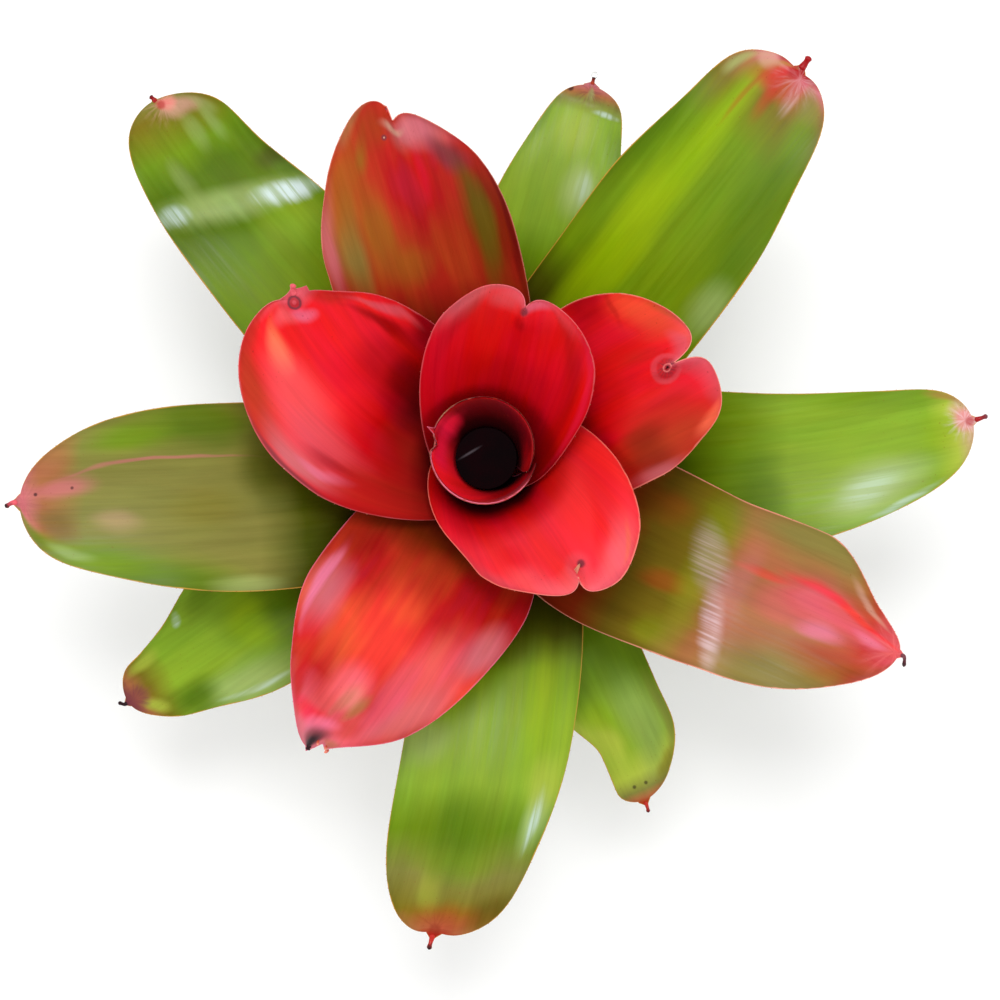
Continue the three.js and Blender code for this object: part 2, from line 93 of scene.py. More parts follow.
LEAVES = [
    # The rolled leaf is painted mostly with light and shade: its run turns black as painted shade down into
    # the cup, the bright red patch is a painted lit band on the near wall, the magenta patches are painted
    # highlights on the lip, and the darker red and purple patches are painted shade on the far wall and
    # rim.
    dict(
        way=160, swing=0, tilt=0, reach=19.5, rise=86, fall=35, ease=0.3, base=11,
        edge=[[0.5, 29, 29], [0.8, 50, 50], [0.95, 61, 61]], hood=[2.2, -1, 2.5, 0.85], aside=4,
        cup=0,
        run=[(0.62, "painted_shade"), (0.76, "ebony"), (0.92, "wine"), (1, "garnet")],
        patches=[
            ["scarlet", 0.80, 0.36, 0.34, 0.42, 1.0, 0], ["magenta", 0.88, -0.1, 0.14, 0.14, 0.8],
            ["magenta", 0.86, 0.14, 0.12, 0.14, 0.8], ["garnet", 0.84, 0.8, 0.16, 0.16, 0.8],
            ["garnet", 0.88, -0.95, 0.12, 0.16, 0.7], ["plum", 0.95, 0.78, 0.05, 0.2, 0.5],
            ["wine", 0.95, -0.45, 0.05, 0.4, 0.7],
        ],
        margin="orchid_and_painted_highlight", far_margin="ebony", hook=(4, 0.35, 0.6, "rose", "char"),
    ),
    dict(
        way=75, swing=0, tilt=-6, reach=61, rise=70, fall=54, ease=1, base=12,
        edge=[[0.3, 32, 36], [0.5, 33, 35], [0.65, 30, 31], [0.85, 22, 22], [0.95, 13, 14]],
        hood=[7, 4, 5, 0.6], cup=0, pinch=(0.9, 7),
        run=[(0.2, "wine"), (0.33, "garnet"), (0.45, "crimson"), (0.62, "cherry"), (0.84, "cherry"),
             (0.93, "scarlet"), (1, "rose")],
        patches=[
            ["mauve_and_painted_sheen", 0.85, 0.97, 0.17, 0.2, 0.6], ["rose", 0.99, 0.0, 0.03, 0.9, 0.5],
            ["garnet", 0.68, -0.75, 0.3, 0.1, 0.6], ["magenta", 0.65, -0.95, 0.3, 0.05, 0.7],
            ["garnet", 0.87, 0.06, 0.05, 0.12, 0.5], ["rose", 0.9, -0.85, 0.07, 0.14, 0.4],
            ["garnet", 0.7, 0.8, 0.2, 0.08, 0.4], ["garnet", 0.55, 0.0, 0.1, 0.6, 0.35],
            ["crimson", 0.82, -0.8, 0.1, 0.2, 0.6], ["orchid_and_painted_highlight", 0.975, -0.45, 0.03, 0.4, 0.4],
            ["mauve_and_painted_sheen", 0.93, 0.5, 0.06, 0.3, 0.35],
        ],
        marks=[("spot", "plum", 0.965, 0.05, 1.6, 0.8)],
        margin="mauve_and_painted_sheen", hook=(2, 0.3, 0.2, "lilac", "garnet"),
    ),
    # The black at the foot of its run is a painted shadow under the rolled leaf's rim.
    dict(
        way=305, swing=8, tilt=-26, reach=58.5, rise=67, fall=50, ease=1, base=16,
        edge=[[0.36, 48, 52], [0.5, 33, 46], [0.65, 28, 36], [0.82, 23, 26], [0.95, 13, 15]],
        hood=[6.2, 4, 4.5, 0.6], cup=0, pinch=(0.93, 7),
        run=[(0.28, "painted_shade"), (0.32, "wine"), (0.37, "cherry"), (0.44, "scarlet"), (0.53, "poppy"),
             (0.85, "poppy"), (1, "coral")],
        patches=[
            ["coral", 0.84, 0.78, 0.14, 0.3, 0.9], ["rose", 0.95, 0.85, 0.05, 0.2, 0.6],
            ["coral", 0.86, -0.7, 0.16, 0.3, 0.5], ["rose", 0.72, -0.97, 0.2, 0.1, 0.6],
            ["ember", 0.8, 0.88, 0.08, 0.05, 0.5], ["scarlet", 0.7, 0.5, 0.12, 0.1, 0.5],
            ["cherry", 0.55, 0.8, 0.12, 0.3, 0.6], ["cherry", 0.62, -0.6, 0.12, 0.12, 0.4],
        ],
        marks=[("spot", "rose", 0.83, 0.2, 5.5, 0.5), ("spot", "plum", 0.82, 0.24, 1.7, 0.9)],
        margin="peach", hook=(2, 0.3, 0.2, "husk", "peach"),
    ),
    dict(
        way=28, swing=0, tilt=3, reach=86, rise=63, fall=40, ease=1, base=18,
        edge=[[0.35, 34, 36], [0.6, 34, 36], [0.8, 29, 31], [0.95, 20, 17.5]],
        hood=[13, 4, 5, 0.6], cup=0, pinch=(0.92, 8),
        run=[(0.4, "garnet"), (0.53, "cherry"), (0.68, "scarlet"), (0.9, "scarlet"), (1, "rose")],
        patches=[
            ["vermilion", 0.87, 0.75, 0.12, 0.35, 0.9], ["bronze", 0.94, 0.95, 0.05, 0.1, 0.4],
            ["rust", 0.72, -0.45, 0.16, 0.25, 0.7], ["brick", 0.72, -0.8, 0.24, 0.32, 0.9],
            ["russet", 0.6, -0.8, 0.1, 0.25, 0.6], ["ember", 0.88, -0.92, 0.08, 0.1, 0.6],
            ["mauve_and_painted_sheen", 0.6, -0.97, 0.1, 0.1, 0.6], ["garnet", 0.68, 0.95, 0.09, 0.3, 0.7],
            ["rust", 0.77, 0.85, 0.012, 0.3, 0.6], ["rose", 0.96, 0.42, 0.05, 0.16, 0.6],
            ["scarlet", 0.72, 0.45, 0.14, 0.25, 0.7], ["russet", 0.62, -0.55, 0.1, 0.14, 0.6],
            ["rust", 0.8, 0.2, 0.1, 0.08, 0.4],
        ],
        marks=[
            ("spot", "plum", 0.93, -0.06, 4.8, 0.35), ("rays", "plum", 0.93, -0.06, 4.6, 0.8),
            ("ring", "rose", 0.93, -0.06, 4.4, 0.5), ("ring", "salmon", 0.93, -0.06, 1.2, 0.8),
            ("spot", "char", 0.93, -0.06, 0.6, 1.0),
        ],
        dimples=[(0.92, -1, 4.6, 0.35)],
        margin="peach", hook=(2, 0.3, 0.2, "rose", "plum"),
    ),
    # The dark red patches low on its right are painted shadow, and the greyed pink and lilac strips up its
    # left flank are painted sheen.
    dict(
        way=138.5, swing=22, tilt=-20, reach=92, rise=60, fall=36, ease=1, base=20,
        edge=[[0.35, 36, 38], [0.6, 33, 40.5], [0.8, 25, 35], [0.95, 8.5, 21]],
        hood=[4, 3, 6, 0.75], cup=0,
        run=[(0.22, "wine"), (0.32, "rust"), (0.45, "crimson"), (0.6, "scarlet"), (0.95, "scarlet"),
             (1, "rose")],
        patches=[
            ["wine", 0.36, -0.35, 0.1, 0.45, 0.85], ["wine", 0.5, -0.92, 0.1, 0.25, 0.7],
            ["ember", 0.86, 0.35, 0.08, 0.15, 0.9], ["coral", 0.935, 0.0, 0.035, 0.25, 0.6],
            ["coral", 0.72, 0.45, 0.16, 0.3, 0.5], ["rose", 0.56, 0.62, 0.14, 0.2, 0.6],
            ["mauve_and_painted_sheen", 0.6, 0.84, 0.14, 0.1, 0.8], ["brick", 0.84, 0.86, 0.16, 0.2, 0.8],
            ["rust", 0.95, 0.85, 0.05, 0.25, 0.7], ["plum", 0.6, 0.965, 0.16, 0.04, 0.8],
            ["garnet", 0.5, 0.7, 0.1, 0.04, 0.6], ["orchid_and_painted_highlight", 0.52, 0.78, 0.08, 0.03, 0.6],
            ["garnet", 0.68, -0.72, 0.16, 0.06, 0.9], ["rose", 0.72, -0.86, 0.16, 0.05, 0.8],
            ["rust", 0.92, -0.85, 0.07, 0.2, 0.8], ["orchid_and_painted_highlight", 0.93, -0.3, 0.035, 0.16, 0.6],
            ["garnet", 0.56, -0.92, 0.1, 0.04, 0.6], ["rust", 0.38, 0.8, 0.1, 0.3, 0.8],
            ["cherry", 0.66, -0.15, 0.1, 0.2, 0.5], ["garnet", 0.58, -0.42, 0.12, 0.25, 0.5],
            ["wine", 0.47, -0.4, 0.07, 0.25, 0.6],
        ],
        marks=[
            ("spot", "garnet", 0.98, 0.1, 3.0, 0.6), ("ring", "plum", 0.98, 0.1, 2.0, 0.85),
            ("spot", "rose", 0.98, 0.1, 0.9, 0.8),
        ],
        dimples=[(0.965, 1.2, 2.2, 0.25)],
        margin="mauve_and_painted_sheen", neck=5, hook=(5.4, 1.1, -0.4, "rose", "rose"),
    ),
    # The greyed pink flush over its right lobe is a painted sheen.
    dict(
        way=106.4, swing=0, tilt=-8, reach=134, rise=57, fall=20, ease=1.2, base=22,
        edge=[[0.35, 31, 35], [0.6, 33.5, 36], [0.8, 28, 27.5], [0.95, 10, 13]],
        hood=[9, 3, 4.6, 0.77], aside=-3.2, cup=0, pinch=(0.9, 6),
        run=[(0.38, "russet"), (0.5, "brick"), (0.62, "brick"), (0.72, "rust"), (0.86, "rust"),
             (0.93, "brick"), (1, "rust")],
        patches=[
            ["mauve_and_painted_sheen", 0.66, 0.94, 0.14, 0.1, 0.8], ["khaki", 0.64, 0.72, 0.14, 0.14, 0.75],
            ["bronze", 0.66, 0.42, 0.12, 0.16, 0.9], ["bronze", 0.79, 0.72, 0.14, 0.28, 0.8],
            ["garnet", 0.74, -0.1, 0.12, 0.25, 0.45], ["olive", 0.88, 0.5, 0.06, 0.1, 0.6],
            ["bronze", 0.56, 0.2, 0.05, 0.3, 0.7], ["russet", 0.64, -0.8, 0.2, 0.28, 0.95],
            ["shade", 0.64, -0.7, 0.18, 0.1, 0.9], ["garnet", 0.7, -0.35, 0.12, 0.15, 0.5],
            ["mauve_and_painted_sheen", 0.91, -0.6, 0.06, 0.5, 0.85], ["plum", 0.83, -0.66, 0.05, 0.2, 0.7],
            ["crimson", 0.79, -0.22, 0.09, 0.1, 0.8], ["blush", 0.935, -0.2, 0.018, 0.3, 0.8],
            ["brick", 0.93, 0.4, 0.07, 0.4, 0.8], ["tan", 0.94, 0.92, 0.06, 0.2, 0.8],
            ["wine", 0.62, -0.97, 0.2, 0.05, 0.7],
        ],
        marks=[("spot", "plum", 0.898, 0.16, 1.2, 0.85), ("spot", "blush", 0.898, 0.16, 0.4, 0.9)],
        margin="peach", hook=(2, 0.3, 0.2, "rose", "plum"),
    ),
    # The lilac strip down its right margin is a painted highlight, and its greyed pink patches are partly
    # painted sheen.
    dict(
        way=238, swing=5, tilt=-8, reach=121, rise=54, fall=20, ease=1.2, base=24,
        edge=[[0.35, 35, 40], [0.55, 37, 37.5], [0.8, 26, 26.5], [0.95, 11, 8]],
        hood=[4, 0.5, 1.5, 0.92], aside=3.2, cup=0,
        run=[(0.2, "wine"), (0.3, "russet"), (0.38, "rust"), (0.5, "rust"), (0.62, "vermilion"),
             (0.8, "rust"), (0.93, "rose"), (1, "mauve_and_painted_sheen")],
        patches=[
            ["rose", 0.7, 0.6, 0.2, 0.35, 0.8], ["mauve_and_painted_sheen", 0.76, 0.8, 0.12, 0.2, 0.5],
            ["vermilion", 0.6, -0.1, 0.2, 0.25, 0.9], ["coral", 0.8, -0.05, 0.08, 0.25, 0.8],
            ["garnet", 0.38, 0.7, 0.07, 0.4, 0.8], ["brick", 0.4, 0.0, 0.08, 0.2, 0.7],
            ["tan", 0.83, 0.22, 0.05, 0.1, 0.8], ["mauve_and_painted_sheen", 0.6, -0.8, 0.12, 0.2, 0.8],
            ["orchid_and_painted_highlight", 0.57, -0.88, 0.14, 0.06, 0.95], ["husk", 0.815, 0.05, 0.05, 0.14, 0.3],
            ["tan", 0.85, 0.0, 0.06, 0.07, 0.35], ["rust", 0.86, -0.8, 0.08, 0.14, 0.8],
            ["magenta", 0.925, -0.35, 0.03, 0.5, 0.8], ["garnet", 0.4, -0.8, 0.06, 0.25, 0.8],
            ["crimson", 0.76, -0.78, 0.12, 0.14, 0.6], ["mauve_and_painted_sheen", 0.5, 0.85, 0.08, 0.2, 0.8],
            ["rust", 0.9, 0.5, 0.04, 0.3, 0.4], ["tan", 0.965, 0.8, 0.02, 0.25, 0.6],
            ["orchid_and_painted_highlight", 0.93, -0.1, 0.03, 0.5, 0.6, 0.1], ["plum", 0.965, -0.05, 0.035, 0.55, 0.7, 0.12],
            ["char", 0.988, 0.08, 0.045, 0.5, 1.0, 0.12],
        ],
        margin="orchid_and_painted_highlight", hook=(2, 0.9, 0.3, "char", "char"),
    ),
    dict(
        way=185, swing=5, tilt=-5, reach=169, rise=52, fall=6, ease=1.4, base=26,
        edge=[[0.35, 32, 36], [0.6, 34, 34.5], [0.8, 30, 27.5], [0.94, 18, 19]],
        cup=3,
        run=[(0.3, "dusk"), (0.42, "moss"), (0.52, "khaki"), (0.87, "khaki"), (0.96, "tan"), (1, "mauve_and_painted_sheen")],
        patches=[
            ["grass", 0.82, 0.85, 0.24, 0.28, 0.95], ["sage_and_painted_sheen", 0.9, 0.8, 0.05, 0.08, 0.5],
            ["forest", 0.67, 0.92, 0.1, 0.22, 0.8], ["sage_and_painted_sheen", 0.54, 0.95, 0.07, 0.12, 0.5],
            ["forest", 0.62, -0.8, 0.14, 0.3, 0.85], ["grass", 0.77, -0.75, 0.09, 0.22, 0.8],
            ["tan", 0.94, -0.7, 0.05, 0.3, 0.6], ["mauve_and_painted_sheen", 0.92, -0.25, 0.07, 0.2, 0.65],
            ["mauve_and_painted_sheen", 0.72, -0.44, 0.2, 0.022, 0.55], ["blush", 0.8, 0.28, 0.05, 0.16, 0.3],
            ["shade", 0.93, 0.4, 0.05, 0.25, 0.6], ["forest", 0.98, 0.85, 0.03, 0.2, 0.6],
            ["moss", 0.49, -0.3, 0.05, 0.35, 0.7], ["olive", 0.62, 0.1, 0.08, 0.2, 0.4],
        ],
        marks=[
            ("rays", "plum", 0.99, 0.0, 14, 0.15), ("spot", "char", 0.966, -0.21, 0.8, 0.8),
            ("spot", "char", 0.889, -0.22, 0.7, 0.7),
        ],
        margin="straw", neck=3, hook=(5.2, 0.9, 0.8, "rose", "ebony"),
    ),
    # The pink white band across it and the lilac spots are painted highlights, laid over the real bend in
    # its blade.
    dict(
        way=335, swing=-2, tilt=2, reach=165, rise=49, fall=6, ease=1.4, base=28,
        edge=[[0.35, 38, 30], [0.55, 35.5, 29], [0.75, 31, 30], [0.92, 17.5, 13]],
        cup=3,
        run=[(0.32, "russet"), (0.4, "shade"), (0.5, "olive"), (0.6, "tan"), (0.82, "tan"),
             (0.92, "rust"), (1, "rose")],
        patches=[
            ["khaki", 0.74, 0.88, 0.16, 0.28, 0.85], ["khaki", 0.76, -0.88, 0.14, 0.36, 0.85],
            ["brick", 0.86, -0.55, 0.09, 0.3, 0.8], ["russet", 0.93, -0.85, 0.05, 0.2, 0.5],
            ["grass", 0.54, 0.75, 0.05, 0.3, 0.5], ["lime", 0.54, 0.0, 0.04, 0.9, 0.35],
            ["rose", 0.84, 0.22, 0.14, 0.3, 0.9], ["scarlet", 0.86, 0.42, 0.15, 0.09, 0.7],
            ["scarlet", 0.66, 0.32, 0.06, 0.06, 0.4], ["orchid_and_painted_highlight", 0.82, -0.12, 0.05, 0.12, 0.7],
            ["orchid_and_painted_highlight", 0.93, 0.12, 0.04, 0.12, 0.6], ["rose", 0.73, 0.0, 0.07, 0.22, 0.45],
            ["mauve_and_painted_sheen", 0.62, 0.0, 0.03, 0.6, 0.3], ["olive", 0.8, -0.8, 0.16, 0.35, 0.45],
            ["brick", 0.95, -0.85, 0.05, 0.3, 0.5], ["painted_highlight_pink", 0.55, 0.2, 0.05, 0.42, 0.42, 0.17],
            ["painted_highlight_pink", 0.606, -0.48, 0.028, 0.52, 0.6, 0.12], ["rust", 0.47, -0.2, 0.05, 0.14, 0.3],
            ["lime", 0.49, -0.75, 0.04, 0.15, 0.25], ["brick", 0.42, 0.6, 0.05, 0.2, 0.25],
            ["blush", 0.9, 0.8, 0.05, 0.08, 0.6],
        ],
        marks=[("rays", "salmon", 0.99, 0.0, 16, 0.2)],
        bends=[(97, 7, 1.6, -0.12)],
        margin="peach", neck=1.6, hook=(4.4, 0.75, -2, "plum", "char"),
    ),
    # The pink white patch and rays near its tip are painted highlights.
    dict(
        way=51.4, swing=0, tilt=0, reach=184, rise=45.4, fall=4, ease=1.4, base=29,
        edge=[[0.4, 33.5, 31], [0.6, 32.5, 32], [0.8, 26, 27.5], [0.95, 17.5, 21]],
        hood=[2, 1, 6, 0.9], cup=3,
        run=[(0.3, "dusk"), (0.36, "moss"), (0.45, "grass"), (0.8, "grass"), (0.9, "olive"),
             (0.955, "tan"), (0.985, "mauve_and_painted_sheen"), (1, "garnet")],
        patches=[
            ["lime", 0.65, 0.4, 0.4, 0.26, 0.95], ["forest", 0.72, -0.75, 0.22, 0.38, 0.9],
            ["forest", 0.7, 0.95, 0.16, 0.14, 0.8], ["sage_and_painted_sheen", 0.52, -0.85, 0.06, 0.22, 0.6],
            ["rust", 0.955, 0.25, 0.035, 0.3, 0.7], ["brick", 0.92, 0.0, 0.06, 0.1, 0.6],
            ["grass", 0.9, -0.7, 0.07, 0.25, 0.6], ["sage_and_painted_sheen", 0.94, 0.85, 0.035, 0.12, 0.6],
            ["brick", 0.89, 0.35, 0.07, 0.05, 0.4], ["khaki", 0.95, -0.7, 0.03, 0.25, 0.6],
            ["painted_highlight_pink", 0.953, -0.27, 0.055, 0.12, 0.45, 0.1],
            ["crimson", 0.975, 0.22, 0.03, 0.16, 0.6, 0.1],
        ],
        marks=[
            ("spot", "blush", 0.972, 0.7, 4.5, 0.5), ("spot", "rust", 0.96, 0.1, 9, 0.5),
            ("rays", "painted_highlight_pink", 0.985, -0.2, 12, 0.2), ("spot", "garnet", 0.99, 0.1, 3, 0.6),
        ],
        margin="straw", neck=2.6, hook=(5.8, 1.3, 0.1, "garnet", "garnet"),
    ),
    # The pale green and pale blue patches on its right are painted sheen and painted highlights, and the
    # pink white rays at its tip are painted highlights.
    dict(
        way=5, swing=-8, tilt=8, reach=181, rise=44, fall=-4, ease=1.4, base=30,
        edge=[[0.4, 36, 28], [0.6, 34.5, 23], [0.8, 27.5, 18.5], [0.95, 16.5, 13]],
        cup=3,
        run=[(0.35, "moss"), (0.42, "forest"), (0.54, "grass"), (0.62, "fresh"), (0.9, "fresh"),
             (0.95, "lemon"), (1, "blush")],
        patches=[
            ["sage_and_painted_sheen", 0.79, -0.55, 0.1, 0.42, 0.95], ["painted_highlight_blue", 0.77, -0.5, 0.06, 0.2, 0.3],
            ["grass", 0.83, 0.88, 0.14, 0.22, 0.8], ["lime", 0.92, 0.1, 0.04, 0.5, 0.5],
            ["blush", 0.975, 0.35, 0.025, 0.45, 0.7], ["tan", 0.95, 0.95, 0.04, 0.12, 0.6],
            ["forest", 0.56, -0.2, 0.05, 0.5, 0.5], ["painted_highlight_blue", 0.84, -0.92, 0.06, 0.06, 0.4],
        ],
        marks=[
            ("spot", "orchid_and_painted_highlight", 0.985, 0.1, 5, 0.5), ("rays", "painted_highlight_pink", 0.985, 0.1, 9, 0.5),
            ("spot", "garnet", 0.993, 0.0, 2, 0.6),
        ],
        margin="straw", neck=1.8, hook=(5.2, 0.9, 0.2, "garnet", "plum"),
    ),
    # The pale green and pale blue patches by its left margin are a painted sheen and a painted highlight.
    dict(
        way=263.5, swing=12, tilt=0, reach=179, rise=41, fall=-6, ease=1.4, base=30,
        edge=[[0.4, 29, 34], [0.6, 29.5, 33], [0.8, 28, 28], [0.95, 17.5, 19.5]],
        hood=[2, 1, 6, 0.9], cup=3,
        run=[(0.3, "dusk"), (0.37, "moss"), (0.44, "grass"), (0.54, "fresh"), (0.67, "fresh"),
             (0.76, "grass"), (0.86, "khaki"), (0.94, "olive"), (0.985, "tan"), (1, "brick")],
        patches=[
            ["lime", 0.53, 0.6, 0.12, 0.4, 0.9], ["lemon", 0.9, -0.3, 0.05, 0.2, 0.35],
            ["forest", 0.76, -0.1, 0.08, 0.7, 0.75], ["sage_and_painted_sheen", 0.74, 0.84, 0.07, 0.16, 0.8],
            ["painted_highlight_blue", 0.74, 0.86, 0.065, 0.06, 0.55], ["shade", 0.935, 0.75, 0.04, 0.3, 0.8],
            ["sage_and_painted_sheen", 0.58, -0.8, 0.05, 0.3, 0.5], ["lemon", 0.66, 0.85, 0.06, 0.25, 0.6],
            ["rust", 0.968, 0.05, 0.045, 0.8, 0.4], ["grass", 0.84, 0.0, 0.04, 0.5, 0.5],
            ["moss", 0.4, 0.0, 0.04, 0.6, 0.5],
        ],
        marks=[("spot", "russet", 0.992, 0.0, 2.6, 0.4), ("rays", "russet", 0.99, 0.0, 10, 0.25)],
        margin="straw", neck=2.8, hook=(6, 0.95, 0.1, "rust", "ebony"),
    ),
    # The slanted pale green band and the pale blue streaks across it are painted sheen and painted
    # highlights, laid over the real bend in its blade.
    dict(
        way=132.5, swing=8, tilt=-16, reach=187, rise=38, fall=-10, ease=1.4, base=30,
        edge=[[0.4, 33, 29], [0.6, 32, 27], [0.8, 25, 24.5], [0.95, 19, 17]],
        cup=3,
        run=[(0.4, "moss"), (0.5, "grass"), (0.62, "grass"), (0.72, "forest"), (0.82, "forest"),
             (0.88, "grass"), (0.96, "olive"), (1, "khaki")],
        patches=[
            ["fresh", 0.64, -0.4, 0.06, 0.45, 0.8], ["moss", 0.77, -0.9, 0.03, 0.25, 0.8],
            ["sage_and_painted_sheen", 0.735, 0.0, 0.045, 1.15, 0.7, -0.11],
            ["painted_highlight_blue", 0.778, 0.78, 0.024, 0.24, 0.6, -0.06],
            ["painted_highlight_blue", 0.69, -0.65, 0.032, 0.42, 0.85, -0.13], ["forest", 0.7, 0.6, 0.03, 0.4, 0.5],
            ["sage_and_painted_sheen", 0.9, -0.25, 0.05, 0.12, 0.35], ["sage_and_painted_sheen", 0.91, -0.6, 0.05, 0.12, 0.4],
            ["sage_and_painted_sheen", 0.82, 0.35, 0.05, 0.12, 0.3], ["forest", 0.85, -0.9, 0.06, 0.2, 0.6],
            ["blush", 0.97, -0.35, 0.025, 0.45, 0.7], ["rose", 0.99, -0.15, 0.015, 0.3, 0.6],
            ["sage_and_painted_sheen", 0.95, -0.75, 0.03, 0.15, 0.4],
        ],
        marks=[
            ("spot", "salmon", 0.983, -0.3, 4, 0.4), ("rays", "blush", 0.985, -0.15, 10, 0.35),
            ("spot", "garnet", 0.985, -0.1, 2, 0.6),
        ],
        bends=[(136, 7, 1.3, 0.45)],
        margin="straw", hook=(3.6, 0.9, 0.4, "garnet", "wine"),
    ),
    # The pale green and pale blue patches right of its midrib are painted sheen and painted highlights.
    dict(
        way=74.6, swing=0, tilt=0, reach=149, rise=34, fall=-4, ease=1.2, base=28,
        edge=[[0.4, 28, 30], [0.7, 23, 24], [0.84, 18, 18], [0.97, 11.5, 9.5]],
        cup=2,
        run=[(0.42, "moss"), (0.55, "grass"), (0.63, "fresh"), (0.92, "fresh"), (0.955, "khaki"),
             (0.975, "tan"), (1, "mauve_and_painted_sheen")],
        patches=[
            ["sage_and_painted_sheen", 0.73, -0.3, 0.07, 0.32, 0.9], ["painted_highlight_blue", 0.74, -0.35, 0.04, 0.14, 0.3],
            ["lemon", 0.88, 0.1, 0.07, 0.5, 0.45], ["painted_highlight_blue", 0.932, -0.55, 0.007, 0.35, 0.5],
            ["grass", 0.85, -0.88, 0.06, 0.2, 0.7], ["grass", 0.88, 0.95, 0.08, 0.14, 0.6],
            ["sage_and_painted_sheen", 0.975, 0.0, 0.02, 0.14, 0.6],
        ],
        marks=[("rays", "plum", 0.985, 0.0, 8, 0.5), ("spot", "char", 0.98, 0.95, 1.4, 0.8)],
        bends=[(142, 3, 0.5, 0.1)],
        margin="straw", neck=3, hook=(3, 0.75, 0, "brick", "char"),
    ),
    # The pale green patch by its left margin and the pale blue streaks by both margins are painted sheen
    # and painted highlights.
    dict(
        way=213.5, swing=0, tilt=0, reach=166, rise=29, fall=-10, ease=1.2, base=28,
        edge=[[0.4, 30, 28], [0.7, 27, 27.5], [0.84, 16.8, 20], [0.91, 13.2, 16], [0.96, 11.2, 10.5]],
        cup=2,
        run=[(0.5, "moss"), (0.57, "forest"), (0.65, "grass"), (0.75, "fresh"), (0.88, "fresh"),
             (0.94, "olive"), (0.975, "tan"), (1, "plum")],
        patches=[
            ["sage_and_painted_sheen", 0.75, 0.78, 0.12, 0.35, 0.75], ["forest", 0.86, 0.7, 0.06, 0.45, 0.9],
            ["lime", 0.66, 0.0, 0.05, 0.4, 0.8], ["forest", 0.72, -0.75, 0.06, 0.25, 0.6],
            ["lemon", 0.95, 0.55, 0.025, 0.3, 0.8], ["lemon", 0.92, -0.75, 0.04, 0.2, 0.7],
            ["painted_highlight_blue", 0.8, -0.85, 0.012, 0.12, 0.5], ["painted_highlight_blue", 0.72, 0.88, 0.08, 0.06, 0.35],
        ],
        marks=[("spot", "plum", 0.98, 0.1, 6, 0.55), ("rays", "plum", 0.985, 0.1, 10, 0.5)],
        margin="straw", neck=1.8, hook=(3.6, 0.75, -1.4, "char", "char"),
    ),
    dict(
        way=295, swing=0, tilt=0, reach=144, rise=25, fall=-10, ease=1.2, base=28,
        edge=[[0.4, 26, 25], [0.72, 14.7, 23.5], [0.84, 8, 23], [0.95, 8.5, 14]],
        cup=2,
        run=[(0.5, "forest"), (0.57, "grass"), (0.66, "grass"), (0.74, "fresh"), (0.85, "fresh"),
             (0.92, "lemon"), (0.965, "khaki"), (0.985, "tan"), (1, "brick")],
        patches=[
            ["grass", 0.84, 0.35, 0.08, 0.3, 0.5], ["sage_and_painted_sheen", 0.8, 0.35, 0.14, 0.5, 0.4],
            ["lemon", 0.82, -0.6, 0.1, 0.3, 0.9], ["lemon", 0.78, -0.95, 0.12, 0.2, 0.9],
            ["khaki", 0.82, 0.9, 0.12, 0.15, 0.6], ["lime", 0.74, -0.4, 0.05, 0.3, 0.6],
            ["olive", 0.93, 0.8, 0.03, 0.3, 0.6],
        ],
        marks=[("spot", "char", 0.955, -0.16, 0.9, 0.7), ("spot", "char", 0.957, 0.26, 0.9, 0.7)],
        margin="straw", neck=2.4, hook=(4.6, 0.75, -0.3, "rust", "wine"),
    ),
]

# leaves by their place in the table
HEART_LEAVES = 5          # how many of the first are red all over
FIRST_GREEN = 7           # from here on they are green under their flush
DROP_LEAF = 13            # a drop hangs on this one's point
FRAYED_LEAF = 2           # fibres lie in this one's notch
TORN_LEAF = 6             # this one's end is dead and torn

# what a leaf has where its entry doesn't say
NO_HOOD = (0, 0, 8, 0.8)
NO_PINCH = (0, 1)
PLAIN_NECK = 1.1

# how all leaves are laid out
WRAP_ENDS = (20, 45)      # blades hug the axis inside the first radius, are flat past the second
HEART_WRAP = math.radians(130)
SHEATH_WRAP = math.radians(98)
TILT_EASE = 1.5           # a tilted blade turns mostly near its end
HOOD_EASE = 1.6           # a drawn-in tip draws in mostly near its end
CUP = dict(starts=0.25, full=0.7, width=35, most=1.6)
ROW_CROWDING = 1.2        # above 1, the rows of a blade lie closer together in the sheath
POINT_ROWS = 0.05         # share of rows that are added for the drawn-out end
POINT_SHARE = 0.6         # a blade's end runs this far out along its point
POINT_END = 0.12          # half width there
POINT_GAP = 0.1           # share of its length that the point of a necked blade starts past it
POINT_SINK = 1.2          # how far inside a plain blade its point starts
THIN_BAND = 9             # a blade thins over this much of its margin
SPINE_SPAN = (0.35, 0.985)        # shares of the reach between which the margins have spines
STRAP_SCALE = 100         # millimetres to one unit of the strap map
GRAIN_STEP = (3.1, 1.7)   # shifts each leaf's grain on from the last one's
TUBE = dict(
    wrap=math.radians(186), spiral=0.9, parts=(6, 14), height=56,
    lean=(-1.3, 5.2), lean_ease=5, lean_most=1.2,
)
# These two colours are painted highlights.
PAINTED_HIGHLIGHTS = ("painted_highlight_blue", "painted_highlight_pink")      # patches in these colours are combed by the grain
RAY_REACH = 0.3           # how fast the rays of a mark change outwards

